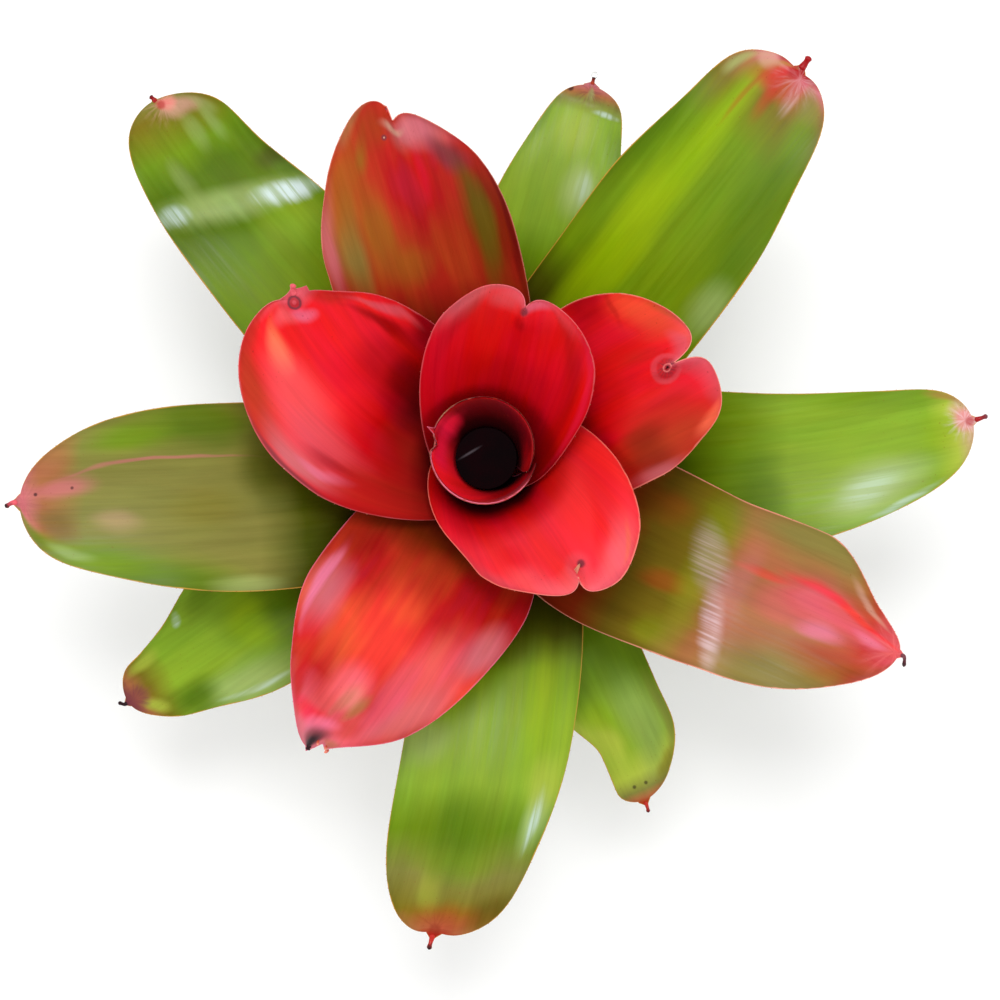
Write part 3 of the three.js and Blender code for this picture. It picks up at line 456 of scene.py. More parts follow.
# stem, pot and mix in millimetres: the solids' own sizes, and those of the finer forms
STEM_TOP = 132
STEM = dict(radius=4, radius_step=1.6, radius_fade=0.04, height_fade=0.11)
OLD_SCALES = dict(count=9, turn=0.382, root=19.6)
POT = dict(
    floor=2.6, foot=0.6, foot_ring=(8, 6.5), bevel=1.5, shoulder=58.5, shoulder_height=90,
    collar=61, collar_height=92, rim=62.5, lip=64.3, lip_height=2.2, lip_round=0.8,
    drains=6, drain_radius=4.5, drain_ring=32, ribs=32, rib_depth=0.25,
)
MIX = dict(
    level=96, crest=0.6, mound=2.5, mound_span=(18, 58), gap=0.8, hole=18.8, hole_floor=52,
    clear=26, edge=57,
)

# the stage in metres
VIEW_CENTRE = (0.0047, -0.0138)
HEART = (0, 0, 0.17)      # the lights aim here

# where each piece's luck starts
SEEDS = dict(relief=400, spines=900, mix=31, scales=77, fibres=5)


# ---------- settings ----------

def colour(name, words, red, green, blue):
    """A colour that the sidebar shows, given as it looks on a screen."""
    return FloatVectorProperty(
        name=name, description=words, subtype="COLOR_GAMMA", size=3, min=0, max=1,
        default=(red, green, blue),
    )


class LeafColours(bpy.types.PropertyGroup):
    scarlet: colour("Scarlet", "Heart leaves in full light", 0.93, 0.10, 0.13)
    cherry: colour("Cherry", "Upper part of a heart leaf", 0.86, 0.04, 0.085)
    crimson: colour("Crimson", "Middle of a heart leaf", 0.79, 0.03, 0.06)
    garnet: colour("Garnet", "Deep red", 0.62, 0.02, 0.05)
    # These two deep reds are the leaves' own colour low down, and also painted shade deep in the rosette
    # and on the rolled leaf's far side.
    wine: colour("Wine", "Lower part of a heart leaf", 0.36, 0.01, 0.04)
    ebony: colour("Ebony", "Darkest red", 0.18, 0.01, 0.02)
    # Painted shade only: black down in the rolled leaf's cup, in the shadow under its rim and on the water.
    painted_shade: colour("Ink", "Sheath of a heart leaf", 0.07, 0.01, 0.02)
    # On the rolled leaf's lip this is partly a painted highlight.
    magenta: colour("Magenta", "Lip of the rolled leaf", 0.90, 0.10, 0.24)
    poppy: colour("Poppy", "Body of the brightest leaf", 0.97, 0.20, 0.23)
    vermilion: colour("Vermilion", "Orange red glow", 0.92, 0.30, 0.18)
    ember: colour("Ember", "Orange streak", 0.95, 0.45, 0.30)
    coral: colour("Coral", "Pale end of a heart leaf", 0.96, 0.40, 0.43)
    salmon: colour("Salmon", "Palest pink", 0.95, 0.52, 0.51)
    rose: colour("Rose", "Pink flush", 0.86, 0.33, 0.38)
    # Mostly a painted highlight, a lilac gloss put on as colour; as a margin it is also the leaves' own
    # lilac.
    orchid_and_painted_highlight: colour("Orchid", "Lilac pink gloss", 0.90, 0.46, 0.58)
    # Partly the leaves' own greyed pink and partly a painted sheen on the red leaves' flanks.
    mauve_and_painted_sheen: colour("Mauve", "Greyed pink flank", 0.79, 0.42, 0.45)
    plum: colour("Plum", "Purple brown", 0.44, 0.20, 0.24)
    rust: colour("Rust", "Brown red", 0.73, 0.14, 0.10)
    brick: colour("Brick", "Orange brown", 0.67, 0.20, 0.09)
    russet: colour("Russet", "Dark red brown", 0.46, 0.13, 0.03)
    bronze: colour("Bronze", "Golden brown", 0.62, 0.34, 0.09)
    # The two dark sheath greens are the leaves' own darker bases and partly painted shade deep in the
    # rosette.
    dusk: colour("Dusk", "Sheath of an outer leaf", 0.20, 0.18, 0.0)
    moss: colour("Moss", "Lower part of an outer leaf", 0.28, 0.31, 0.01)
    shade: colour("Shade", "Green brown", 0.38, 0.32, 0.06)
    forest: colour("Forest", "Deep green", 0.33, 0.45, 0.0)
    grass: colour("Grass", "Middle green", 0.42, 0.55, 0.03)
    fresh: colour("Fresh", "Light green", 0.51, 0.645, 0.14)
    # Partly the leaves' own pale green, as in the scale bands beneath, and partly a painted sheen on the
    # green leaves.
    sage_and_painted_sheen: colour("Sage", "Pale green", 0.62, 0.71, 0.42)
    lime: colour("Lime", "Yellow green stripe", 0.54, 0.67, 0.0)
    lemon: colour("Lemon", "Yellowed green", 0.66, 0.72, 0.24)
    olive: colour("Olive", "Green under a red flush", 0.47, 0.42, 0.08)
    khaki: colour("Khaki", "Greyed olive", 0.5, 0.49, 0.22)
    tan: colour("Tan", "Brown flush", 0.65, 0.4, 0.24)
    blush: colour("Blush", "Pale brown pink", 0.80, 0.60, 0.52)
    peach: colour("Peach", "Margin of a red leaf", 0.92, 0.58, 0.50)
    lilac: colour("Lilac", "Margin of a heart leaf", 0.90, 0.50, 0.60)
    straw: colour("Straw", "Margin of a green leaf", 0.76, 0.56, 0.20)
    # These two are painted highlights: reflections of the lights put on the leaves as colour.
    painted_highlight_blue: colour("Frost", "Pale blue gloss", 0.80, 0.88, 0.88)
    painted_highlight_pink: colour("Pearl", "Pink white gloss", 0.88, 0.78, 0.80)
    husk: colour("Husk", "Dry fibre", 0.82, 0.68, 0.54)
    char: colour("Char", "Dead tip", 0.17, 0.06, 0.09)


class BladeSizes(bpy.types.PropertyGroup):
    thickness: FloatProperty(
        name="Thickness", description="Blade thickness at the midrib", unit="LENGTH",
        default=0.00115, min=0.0004, max=0.003)
    thin_edge: FloatProperty(
        name="Thin edge", description="Share of the thickness left at the margin", subtype="FACTOR",
        default=0.3, min=0.1, max=1)
    rows: IntProperty(
        name="Rows", description="Faces along a blade", default=120, min=20, max=300)
    columns: IntProperty(
        name="Columns", description="Faces across a blade", default=36, min=8, max=80)
    swell: FloatProperty(
        name="Swell", description="Height of the broad unevenness of a blade", unit="LENGTH",
        default=0.0003, min=0, max=0.003)
    margin_wave: FloatProperty(
        name="Margin wave", description="Height of the waves along a margin", unit="LENGTH",
        default=0.0005, min=0, max=0.003)
    spine_length: FloatProperty(
        name="Spine length", description="Length of a marginal spine", unit="LENGTH",
        default=0.0004, min=0, max=0.004)
    spine_spacing: FloatProperty(
        name="Spine spacing", description="Distance between spines", unit="LENGTH",
        default=0.0046, min=0.001, max=0.02)


class StageSettings(bpy.types.PropertyGroup):
    floor_size: FloatProperty(
        name="Floor size", description="Side of the floor", unit="LENGTH", default=6.0, min=1)
    camera_height: FloatProperty(
        name="Camera height", description="Camera above the floor", unit="LENGTH", default=1.2, min=0.5)
    focal_length: FloatProperty(
        name="Focal length", description="Lens of the camera in millimetres", default=100, min=20)
    key_power: FloatProperty(
        name="Key light", description="Power of the overhead soft box", unit="POWER", default=10, min=0)
    side_power: FloatProperty(
        name="Side lights", description="Power of each side strip", unit="POWER", default=3.3, min=0)
    sky: FloatProperty(
        name="Sky", description="Strength of the even white surround", default=0.88, min=0)
    sky_gloss: FloatProperty(
        name="Sky in gloss", description="Strength of the surround in reflections", default=0.15, min=0)


class PotSettings(bpy.types.PropertyGroup):
    height: FloatProperty(
        name="Height", description="Height of the pot", unit="LENGTH", default=0.105)
    base_radius: FloatProperty(
        name="Base radius", description="Radius of the underside", unit="LENGTH", default=0.046)
    wall: FloatProperty(
        name="Wall", description="Thickness of the wall", unit="LENGTH", default=0.002)
    plastic: colour("Plastic", "Colour of the pot", 0.13, 0.135, 0.14)
    peat: colour("Peat", "Colour of the fine mix", 0.16, 0.11, 0.08)
    bark: colour("Bark", "Colour of the bark pieces", 0.36, 0.22, 0.13)
    perlite: colour("Perlite", "Colour of the white grains", 0.86, 0.84, 0.80)
    bark_pieces: IntProperty(
        name="Bark pieces", description="How many bark pieces lie on top", default=300, min=0)
    perlite_grains: IntProperty(
        name="Perlite grains", description="How many white grains lie on top", default=90, min=0)


def settings(context, group):
    return getattr(context.scene, "neoregelia_" + group)


# ---------- small helpers ----------

def linear(seen):
    """A colour as it looks on a screen, as the linear colour that shaders take."""
    return tuple(c / 12.92 if c <= 0.04045 else ((c + 0.055) / 1.055) ** 2.4 for c in seen) + (1,)


def leaf_colour(context, name):
    return linear(getattr(settings(context, "colours"), name))


def mix(a, b, share):
    return a + (b - a) * share


def unit(vectors):
    """A vector, or a row of them, at length 1."""
    return vectors / np.linalg.norm(vectors, axis=-1, keepdims=True)


def smooth(low, high, value):
    t = np.clip((value - low) / (high - low), 0, 1)
    return t * t * (3 - 2 * t)


def clear_selection():
    if bpy.context.mode != "OBJECT":
        bpy.ops.object.mode_set(mode="OBJECT")
    bpy.ops.object.select_all(action="DESELECT")


def pick(piece):
    """Makes a piece the only selected and the active object."""
    clear_selection()
    piece.select_set(True)
    bpy.context.view_layer.objects.active = piece


def take(name):
    """Names the object that an operator has just added."""
    piece = bpy.context.object
    piece.name = name
    piece.data.name = name
    return piece


def apply_modifier(piece, kind, **values):
    pick(piece)
    bpy.ops.object.modifier_add(type=kind)
    modifier = piece.modifiers[-1]
    for key, value in values.items():
        setattr(modifier, key, value)
    bpy.ops.object.modifier_apply(modifier=modifier.name)


def shade(piece, degrees):
    pick(piece)
    bpy.ops.object.shade_smooth_by_angle(angle=math.radians(degrees))


def coordinates(piece):
    co = np.empty(len(piece.data.vertices) * 3)
    piece.data.vertices.foreach_get("co", co)
    return co.reshape(-1, 3)


def move_points(piece, points):
    piece.data.vertices.foreach_set("co", np.ascontiguousarray(points, dtype=float).ravel())
    piece.data.update()


def store(piece, name, values):
    attribute = piece.data.attributes.new(name, "FLOAT", "POINT")
    attribute.data.foreach_set("value", np.ascontiguousarray(values, dtype=np.float32))


def copies(name, template, places):
    """One mesh of many copies of a template object, each at its own 4x4 matrix."""
    points = coordinates(template)
    faces = [tuple(face.vertices) for face in template.data.polygons]
    bpy.data.objects.remove(template)
    all_points = []
    all_faces = []
    for place in places:
        start = len(all_points) * len(points)
        all_points.append(points @ place[:3, :3].T + place[:3, 3])
        all_faces.extend(tuple(start + corner for corner in face) for face in faces)
    mesh = bpy.data.meshes.new(name)
    mesh.from_pydata(np.concatenate(all_points), [], all_faces)
    piece = bpy.data.objects.new(name, mesh)
    bpy.context.scene.collection.objects.link(piece)
    return piece


def dress(piece, materials, slot, *nodes):
    """Gives a finished piece its materials and its body, and hides the imported nodes it stands for. The
    slot is not used.
    """
    for material in materials:
        piece.data.materials.append(material)
    if nodes:
        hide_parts(*nodes)
    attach(piece, "root")


# ---------- materials ----------

class Paint:
    """A new node material, with short calls for the nodes that the finishes use."""

    def __init__(self, name):
        self.material = bpy.data.materials.new(name)
        self.material.use_nodes = True
        self.tree = self.material.node_tree
        self.shader = self.tree.nodes["Principled BSDF"]

    def node(self, kind, inputs=(), **values):
        made = self.tree.nodes.new(kind)
        for key, value in values.items():
            setattr(made, key, value)
        for key, value in dict(inputs).items():
            self.feed(made.inputs[key], value)
        return made

    def feed(self, socket, value):
        if isinstance(value, bpy.types.NodeSocket):
            self.tree.links.new(value, socket)
        else:
            socket.default_value = value

    def set(self, **values):
        for key, value in values.items():
            self.feed(self.shader.inputs[key.replace("_", " ")], value)

    def uv(self, name):
        return self.node("ShaderNodeUVMap", uv_map=name).outputs["UV"]

    def attribute(self, name):
        return self.node("ShaderNodeAttribute", attribute_name=name).outputs["Fac"]

    def object_place(self):
        return self.node("ShaderNodeTexCoord").outputs["Object"]

    def placed(self, vector, scale=(1, 1, 1), location=(0, 0, 0), rotation=(0, 0, 0)):
        inputs = {"Vector": vector, "Scale": scale, "Location": location, "Rotation": rotation}
        return self.node("ShaderNodeMapping", inputs).outputs["Vector"]

    def noise(self, vector, scale=1.0, detail=3.0, roughness=0.5):
        inputs = {"Vector": vector, "Scale": scale, "Detail": detail, "Roughness": roughness}
        return self.node("ShaderNodeTexNoise", inputs)

    def ranged(self, value, low, high, to_low=0.0, to_high=1.0, soft=True):
        inputs = {"Value": value, "From Min": low, "From Max": high, "To Min": to_low, "To Max": to_high}
        kind = "SMOOTHSTEP" if soft else "LINEAR"
        return self.node("ShaderNodeMapRange", inputs, interpolation_type=kind).outputs["Result"]

    def math(self, operation, first, second=0.0):
        return self.node("ShaderNodeMath", {0: first, 1: second}, operation=operation).outputs[0]

    def blend(self, share, first, second):
        made = self.node("ShaderNodeMix", data_type="RGBA")
        for socket, value in ((made.inputs[0], share), (made.inputs[6], first), (made.inputs[7], second)):
            self.feed(socket, value)
        return made.outputs[2]

    def vector(self, operation, first, second=(0, 0, 0)):
        made = self.node("ShaderNodeVectorMath", {0: first, 1: second}, operation=operation)
        return made.outputs["Value" if operation == "LENGTH" else "Vector"]

    def ramp(self, value, stops):
        made = self.node("ShaderNodeValToRGB", {"Fac": value})
        elements = made.color_ramp.elements
        while len(elements) < len(stops):
            elements.new(0.5)
        for element, (place, rgba) in zip(elements, stops):
            element.position = place
            element.color = rgba
        return made.outputs["Color"]

    def bump(self, height, distance, strength):
        inputs = {"Height": height, "Distance": distance, "Strength": strength}
        return self.node("ShaderNodeBump", inputs).outputs["Normal"]

    def parts(self, vector):
        return self.node("ShaderNodeSeparateXYZ", {0: vector}).outputs

    def jitter(self, colour, reach):
        """A noise colour as a shift of up to half the reach either way."""
        return self.vector("MULTIPLY", self.vector("SUBTRACT", colour, (0.5, 0.5, 0.5)), reach)


def own_grain(paint, k):
    """A leaf's strap map, shifted so that no two leaves have the same grain."""
    return paint.placed(paint.uv("strap"), location=(GRAIN_STEP[0] * k, GRAIN_STEP[1] * k, 0))


def run_colour(context, paint, along, leaf):
    """A leaf's run of colours from sheath to tip."""
    return paint.ramp(along, [(place, leaf_colour(context, hue)) for place, hue in leaf["run"]])


def leaf_upper(context, name, leaf, k):
    """The glossy upper face: a run of colour from sheath to tip, darker at the sheath partly as painted
    shade; flushes of colour, some of them painted highlights, painted sheen and painted shade; small marks
    and streaks.
    """
    paint = Paint(name)
    share = paint.uv("share")
    strap = own_grain(paint, k)
    wander = paint.noise(paint.placed(strap, (7, 1.8, 1)), detail=2.5).outputs["Color"]
    warped = paint.vector("ADD", share, paint.jitter(wander, (0.17, 0.055, 0)))
    along = paint.parts(warped)["Y"]
    streak = paint.noise(paint.placed(strap, (60, 1.6, 1)), detail=2.5).outputs["Fac"]
    fine = paint.noise(paint.placed(strap, (300, 6, 1)), detail=2.0).outputs["Fac"]
    tone = run_colour(context, paint, along, leaf)
    tone = leaf_patches(context, paint, leaf, tone, share, warped, streak)
    tone = leaf_light(paint, k, tone, strap, streak, fine)
    tone = leaf_marks(context, paint, leaf, k, tone)
    specks = paint.noise(paint.placed(strap, (130, 110, 1)), detail=1.0).outputs["Fac"]
    specks = paint.math("MULTIPLY", paint.ranged(specks, 0.70, 0.76, 0.0, 0.45),
                        paint.ranged(along, 0.6, 1.0, 0.1, 1.0))
    tone = paint.blend(specks, tone, leaf_colour(context, "russet"))
    edge = paint.math("ADD", paint.attribute("edge"), paint.ranged(streak, 0.3, 0.7, -0.15, 0.15))
    line = paint.ranged(edge, 0.0, 0.45, 0.5 if k < FIRST_GREEN else 0.9, 0.0)
    tone = paint.blend(line, tone, margin_colour(context, paint, leaf))
    paint.set(Base_Color=tone, Roughness=paint.ranged(streak, 0.3, 0.7, 0.28, 0.40))
    ribs = paint.math("ADD", streak, paint.math("MULTIPLY", fine, 0.4))
    paint.set(Normal=paint.bump(ribs, 0.00005, 0.5), Specular_IOR_Level=0.12)
    return paint.material


def leaf_patches(context, paint, leaf, tone, share, warped, streak):
    """Soft oval patches: flushes of the leaf's own colour, and painted highlights, painted sheen and
    painted shade. Their edges wander, or are combed where the outline is clear.
    """
    for hue, place, across, length, width, strength, *slant in leaf["patches"]:
        size = (2 / width, 1 / length, 0)
        middle = (1 - across) / 2
        here = slanted(paint, share, streak, middle, slant[0]) if slant else warped
        local = paint.placed(here, size, (-middle * size[0], -place * size[1], 0))
        fade = (0.3, 1.25) if slant else (0.25, 1.45)
        mask = paint.ranged(paint.vector("LENGTH", local), *fade, strength, 0.0)
        # painted highlights are broken into streaks along the blade's grain
        if hue in PAINTED_HIGHLIGHTS:
            mask = paint.math("MULTIPLY", mask, paint.ranged(streak, 0.4, 0.6, 0.45, 1.1))
        tone = paint.blend(mask, tone, leaf_colour(context, hue))
    return tone


def leaf_light(paint, k, tone, strap, streak, fine):
    """Uneven lightness and hue at random, in broad patches and in streaks along the blade, and painted
    shade along the margins, where they roll over.
    """
    dark, drift = (0.87, 0.002) if k < HEART_LEAVES else (0.84, 0.006)
    hue = 0.4995
    broad = paint.noise(paint.placed(strap, (12, 2.0, 1)), detail=3.0).outputs["Fac"]
    light = paint.ranged(broad, 0.3, 0.7, dark, 0.98)
    light = paint.math("ADD", light, paint.ranged(streak, 0.3, 0.7, -0.04, 0.04))
    light = paint.math("ADD", light, paint.ranged(fine, 0.3, 0.7, -0.02, 0.02))
    # painted shade: darker within three millimetres of the margin, as a rolled margin is shaded
    light = paint.math("ADD", light, paint.ranged(paint.attribute("edge"), 0.5, 3.0, -0.1, 0.0))
    tint = paint.noise(paint.placed(strap, (9, 2.6, 3)), detail=2.0).outputs["Fac"]
    tint = paint.ranged(tint, 0.3, 0.7, hue - drift, hue + drift)
    inputs = {"Color": tone, "Value": light, "Hue": tint}
    return paint.node("ShaderNodeHueSaturation", inputs).outputs["Color"]


def slanted(paint, share, streak, middle, slant):
    """Places on a blade, combed along it and sheared across it, for a patch with a clear outline."""
    parts = paint.parts(share)
    rise = paint.math("MULTIPLY", paint.math("SUBTRACT", parts["X"], middle), slant)
    combed = paint.math("ADD", parts["Y"], paint.ranged(streak, 0.3, 0.7, -0.003, 0.003, soft=False))
    combed = paint.math("SUBTRACT", combed, rise)
    return paint.node("ShaderNodeCombineXYZ", {0: parts["X"], 1: combed}).outputs[0]


def leaf_marks(context, paint, leaf, k, tone):
    """Round marks near a leaf's end: a filled spot, a ring, or rays that fan out from a point. The rays
    stand for creases that the surface doesn't have: dark rays are painted shade in them and pale rays
    painted highlights on them.
    """
    flat = paint.uv("strap")
    for kind, hue, place, across, size, strength in leaf.get("marks", []):
        right, left = leaf_widths(leaf, k, np.array([place * leaf["reach"]]))
        sideways = across * (left if across > 0 else right)[0]
        middle = leaf_frame(leaf, k, place * leaf["reach"], sideways)[0] * MM
        grain = paint.noise(paint.placed(flat, (40, 40, 1)), detail=2.0).outputs["Color"]
        loose = min(0.3 * size, 0.6) * MM
        local = paint.vector("SUBTRACT", paint.object_place(), middle)
        local = paint.vector("ADD", local, paint.jitter(grain, (loose, loose, 0)))
        local = paint.vector("MULTIPLY", local, (1, 1, 0))
        far = paint.math("DIVIDE", paint.vector("LENGTH", local), size * MM)
        if kind == "ring":
            band = paint.math("ABSOLUTE", paint.math("SUBTRACT", far, 1.0))
            mask = paint.ranged(band, 0.08, 0.32, strength, 0.0)
        elif kind == "spot":
            mask = paint.ranged(far, 0.45, 1.15, strength, 0.0)
        else:
            parts = paint.parts(local)
            turn = paint.math("ARCTAN2", parts["Y"], parts["X"])
            outwards = paint.math("MULTIPLY", far, RAY_REACH)
            turn = paint.node("ShaderNodeCombineXYZ", {0: turn, 1: outwards})
            rays = paint.noise(turn.outputs[0], scale=5.0, detail=3.0).outputs["Fac"]
            mask = paint.math("MULTIPLY", paint.ranged(rays, 0.42, 0.66, 0.0, strength),
                              paint.ranged(far, 0.2, 1.1, 1.0, 0.0))
        tone = paint.blend(mask, tone, leaf_colour(context, hue))
    return tone


def leaf_under(context, name, leaf, k):
    """The duller lower face, paler and crossed by thin bands of grey scales."""
    paint = Paint(name)
    strap = own_grain(paint, k)
    tone = run_colour(context, paint, paint.parts(paint.uv("share"))["Y"], leaf)
    tone = paint.blend(0.45, tone, leaf_colour(context, "mauve_and_painted_sheen" if k < FIRST_GREEN else "khaki"))
    bands = paint.noise(paint.placed(strap, (5, 34, 1)), detail=3.0, roughness=0.6).outputs["Fac"]
    tone = paint.blend(paint.ranged(bands, 0.48, 0.72, 0.0, 0.4), tone, leaf_colour(context, "sage_and_painted_sheen"))
    ribs = paint.noise(paint.placed(strap, (90, 1.5, 1)), detail=3.0).outputs["Fac"]
    tone = paint.blend(paint.ranged(ribs, 0.35, 0.65, 0.0, 0.25), tone, leaf_colour(context, "moss"))
    paint.set(Base_Color=tone, Roughness=paint.ranged(bands, 0.3, 0.7, 0.45, 0.62))
    paint.set(Normal=paint.bump(ribs, 0.0003, 0.6), Specular_IOR_Level=0.3)
    return paint.material


def leaf_rim(context, name, leaf, k):
    """The cut edge of a blade: the margin's colour with scattered brown dots."""
    paint = Paint(name)
    grain = paint.noise(paint.placed(paint.uv("strap"), (30, 30, 1)), detail=2.0).outputs["Fac"]
    tone = run_colour(context, paint, paint.parts(paint.uv("share"))["Y"], leaf)
    tone = paint.blend(0.5 if 0 < k < FIRST_GREEN else 0.85, tone, margin_colour(context, paint, leaf))
    tone = paint.blend(paint.ranged(grain, 0.58, 0.66, 0.0, 0.8), tone, leaf_colour(context, "brick"))
    paint.set(Base_Color=tone, Roughness=0.45, Specular_IOR_Level=0.25)
    return paint.material


def margin_colour(context, paint, leaf):
    """The margin's colour; on the rolled leaf it turns into the far margin's colour, painted shade, on the
    side away from the light.
    """
    near = leaf_colour(context, leaf["margin"])
    if "far_margin" not in leaf:
        return near
    parts = paint.parts(paint.object_place())
    side = paint.math("ADD", parts["X"], parts["Y"])
    return paint.blend(paint.ranged(side, 0.002, 0.012), near, leaf_colour(context, leaf["far_margin"]))


def fleshy(context, name, root, tip, low, high):
    """A point or a strand: its root colour turns along the piece into the colour of its tip."""
    paint = Paint(name)
    grain = paint.noise(paint.object_place(), scale=900.0).outputs["Fac"]
    along = paint.math("ADD", paint.attribute("along"), paint.ranged(grain, 0.3, 0.7, -0.12, 0.12))
    tone = paint.ramp(along, [(low, leaf_colour(context, root)), (high, leaf_colour(context, tip))])
    paint.set(Base_Color=tone, Roughness=paint.ranged(grain, 0.3, 0.7, 0.3, 0.5))
    paint.set(Specular_IOR_Level=0.3)
    return paint.material


def crumbly(name, first, second, scale):
    """Bark, peat and perlite: two tones in a coarse grain, each piece a little different."""
    paint = Paint(name)
    place = paint.object_place()
    coarse = paint.noise(place, scale=scale, detail=6.0, roughness=0.65).outputs["Fac"]
    small = paint.noise(place, scale=scale * 5, detail=3.0).outputs["Fac"]
    tone = paint.ramp(coarse, [(0.3, linear(first)), (0.7, linear(second))])
    light = paint.ranged(small, 0.3, 0.7, 0.75, 1.25)
    tone = paint.node("ShaderNodeHueSaturation", {"Color": tone, "Value": light}).outputs["Color"]
    paint.set(Base_Color=tone, Roughness=paint.ranged(coarse, 0.3, 0.7, 0.7, 0.95))
    paint.set(Normal=paint.bump(small, 0.0008, 0.8), Specular_IOR_Level=0.25)
    return paint.material


def pot_plastic(context):
    """Satin charcoal plastic with a faint moulded grain, dusty towards the base."""
    paint = Paint("pot_plastic")
    pot = settings(context, "pot")
    place = paint.object_place()
    dark = linear(pot.plastic)
    pale = linear([min(c * 1.5, 1) for c in pot.plastic])
    dust = paint.noise(place, scale=60.0, detail=5.0).outputs["Fac"]
    height = paint.parts(place)["Z"]
    low = paint.math("MULTIPLY", paint.ranged(dust, 0.45, 0.75), paint.ranged(height, 0.0, 0.07, 0.8, 0.15))
    grain = paint.noise(place, scale=1400.0, detail=2.0).outputs["Fac"]
    paint.set(Base_Color=paint.blend(low, dark, pale), Roughness=paint.ranged(dust, 0.3, 0.7, 0.38, 0.55))
    paint.set(Normal=paint.bump(grain, 0.00004, 0.5), Specular_IOR_Level=0.4)
    return paint.material


def still_water(context):
    """Water painted dark as the shade of the cup, mirror smooth, with one faint painted highlight, a streak
    of light, on it.
    """
    paint = Paint("cup_water_clear")
    ripples = paint.noise(paint.object_place(), scale=120.0, detail=1.0).outputs["Fac"]
    # painted shade: the water is near black, as the shade of the cup looks on it
    tone = paint.ramp(ripples, [(0.3, leaf_colour(context, "painted_shade")), (0.7, linear((0.04, 0.015, 0.02)))])
    # painted highlight: one faint streak of light, painted on the water
    middle, turn, length, width = (-0.0064, 0.0036, 0), -0.54, 0.0062, 0.0007
    glint = paint.vector("SUBTRACT", paint.object_place(), middle)
    glint = paint.placed(glint, rotation=(0, 0, turn))
    glint = paint.vector("LENGTH", paint.placed(glint, (1 / length, 1 / width, 0)))
    tone = paint.blend(paint.ranged(glint, 0.1, 1.0, 0.07, 0.0), tone, (0.8, 0.75, 0.85, 1))
    paint.set(Base_Color=tone, Roughness=0.03, IOR=1.33, Specular_IOR_Level=0.2)
    paint.set(Normal=paint.bump(ripples, 0.0002, 0.3))
    return paint.material


def clear_drop():
    paint = Paint("drop_clear")
    fine = paint.noise(paint.object_place(), scale=800.0).outputs["Fac"]
    paint.set(Base_Color=(0.96, 0.98, 0.98, 1), Roughness=paint.ranged(fine, 0.3, 0.7, 0.0, 0.02))
    paint.set(IOR=1.33, Transmission_Weight=0.9)
    return paint.material


# ---------- the leaf surface ----------

def leaf_radius(k):
    """Distance from the axis at which leaf k leaves the stem."""
    return STEM["radius"] + STEM["radius_step"] * k - STEM["radius_fade"] * k * k


def leaf_height(k):
    """Height at which leaf k leaves the stem."""
    return STEM_TOP - STEM["height_fade"] * k * k


def leaf_curve(leaf, k, steps=200):
    """Plan radii and heights along the midrib: its slope eases from rise to fall."""
    middles = (np.arange(steps) + 0.5) / steps
    slopes = np.radians(mix(leaf["fall"], leaf["rise"], (1 - middles) ** leaf["ease"]))
    step = (leaf["reach"] - leaf_radius(k)) / np.cos(slopes).mean() / steps
    radii = leaf_radius(k) + np.concatenate([[0], np.cumsum(step * np.cos(slopes))])
    heights = leaf_height(k) + np.concatenate([[0], np.cumsum(step * np.sin(slopes))])
    return radii, heights


def half_width(leaf, share, side):
    """Half width at shares of the reach: a smooth curve through the edge points, round at the end."""
    rows = [[0, leaf["base"], leaf["base"]], *leaf["edge"], [1, 0, 0]]
    at = np.arcsin([row[0] for row in rows])
    wide = np.array([row[side] for row in rows], float)
    rate = np.diff(wide) / np.diff(at)
    gap = np.diff(at)
    lean = np.concatenate([[rate[0]], np.zeros(len(rate) - 1), [rate[-1]]])
    for i in range(1, len(rate)):
        if rate[i - 1] * rate[i] > 0:
            lean[i] = (rate[i - 1] * gap[i] + rate[i] * gap[i - 1]) / (gap[i] + gap[i - 1])
    angle = np.arcsin(np.clip(share, 0, 1))
    i = np.clip(np.searchsorted(at, angle, side="right") - 1, 0, len(rate) - 1)
    t = (angle - at[i]) / gap[i]
    value = (2 * t**3 - 3 * t**2 + 1) * wide[i] + (t**3 - 2 * t**2 + t) * gap[i] * lean[i]
    value += (3 * t**2 - 2 * t**3) * wide[i + 1] + (t**3 - t**2) * gap[i] * lean[i + 1]
    return np.maximum(value, 0)


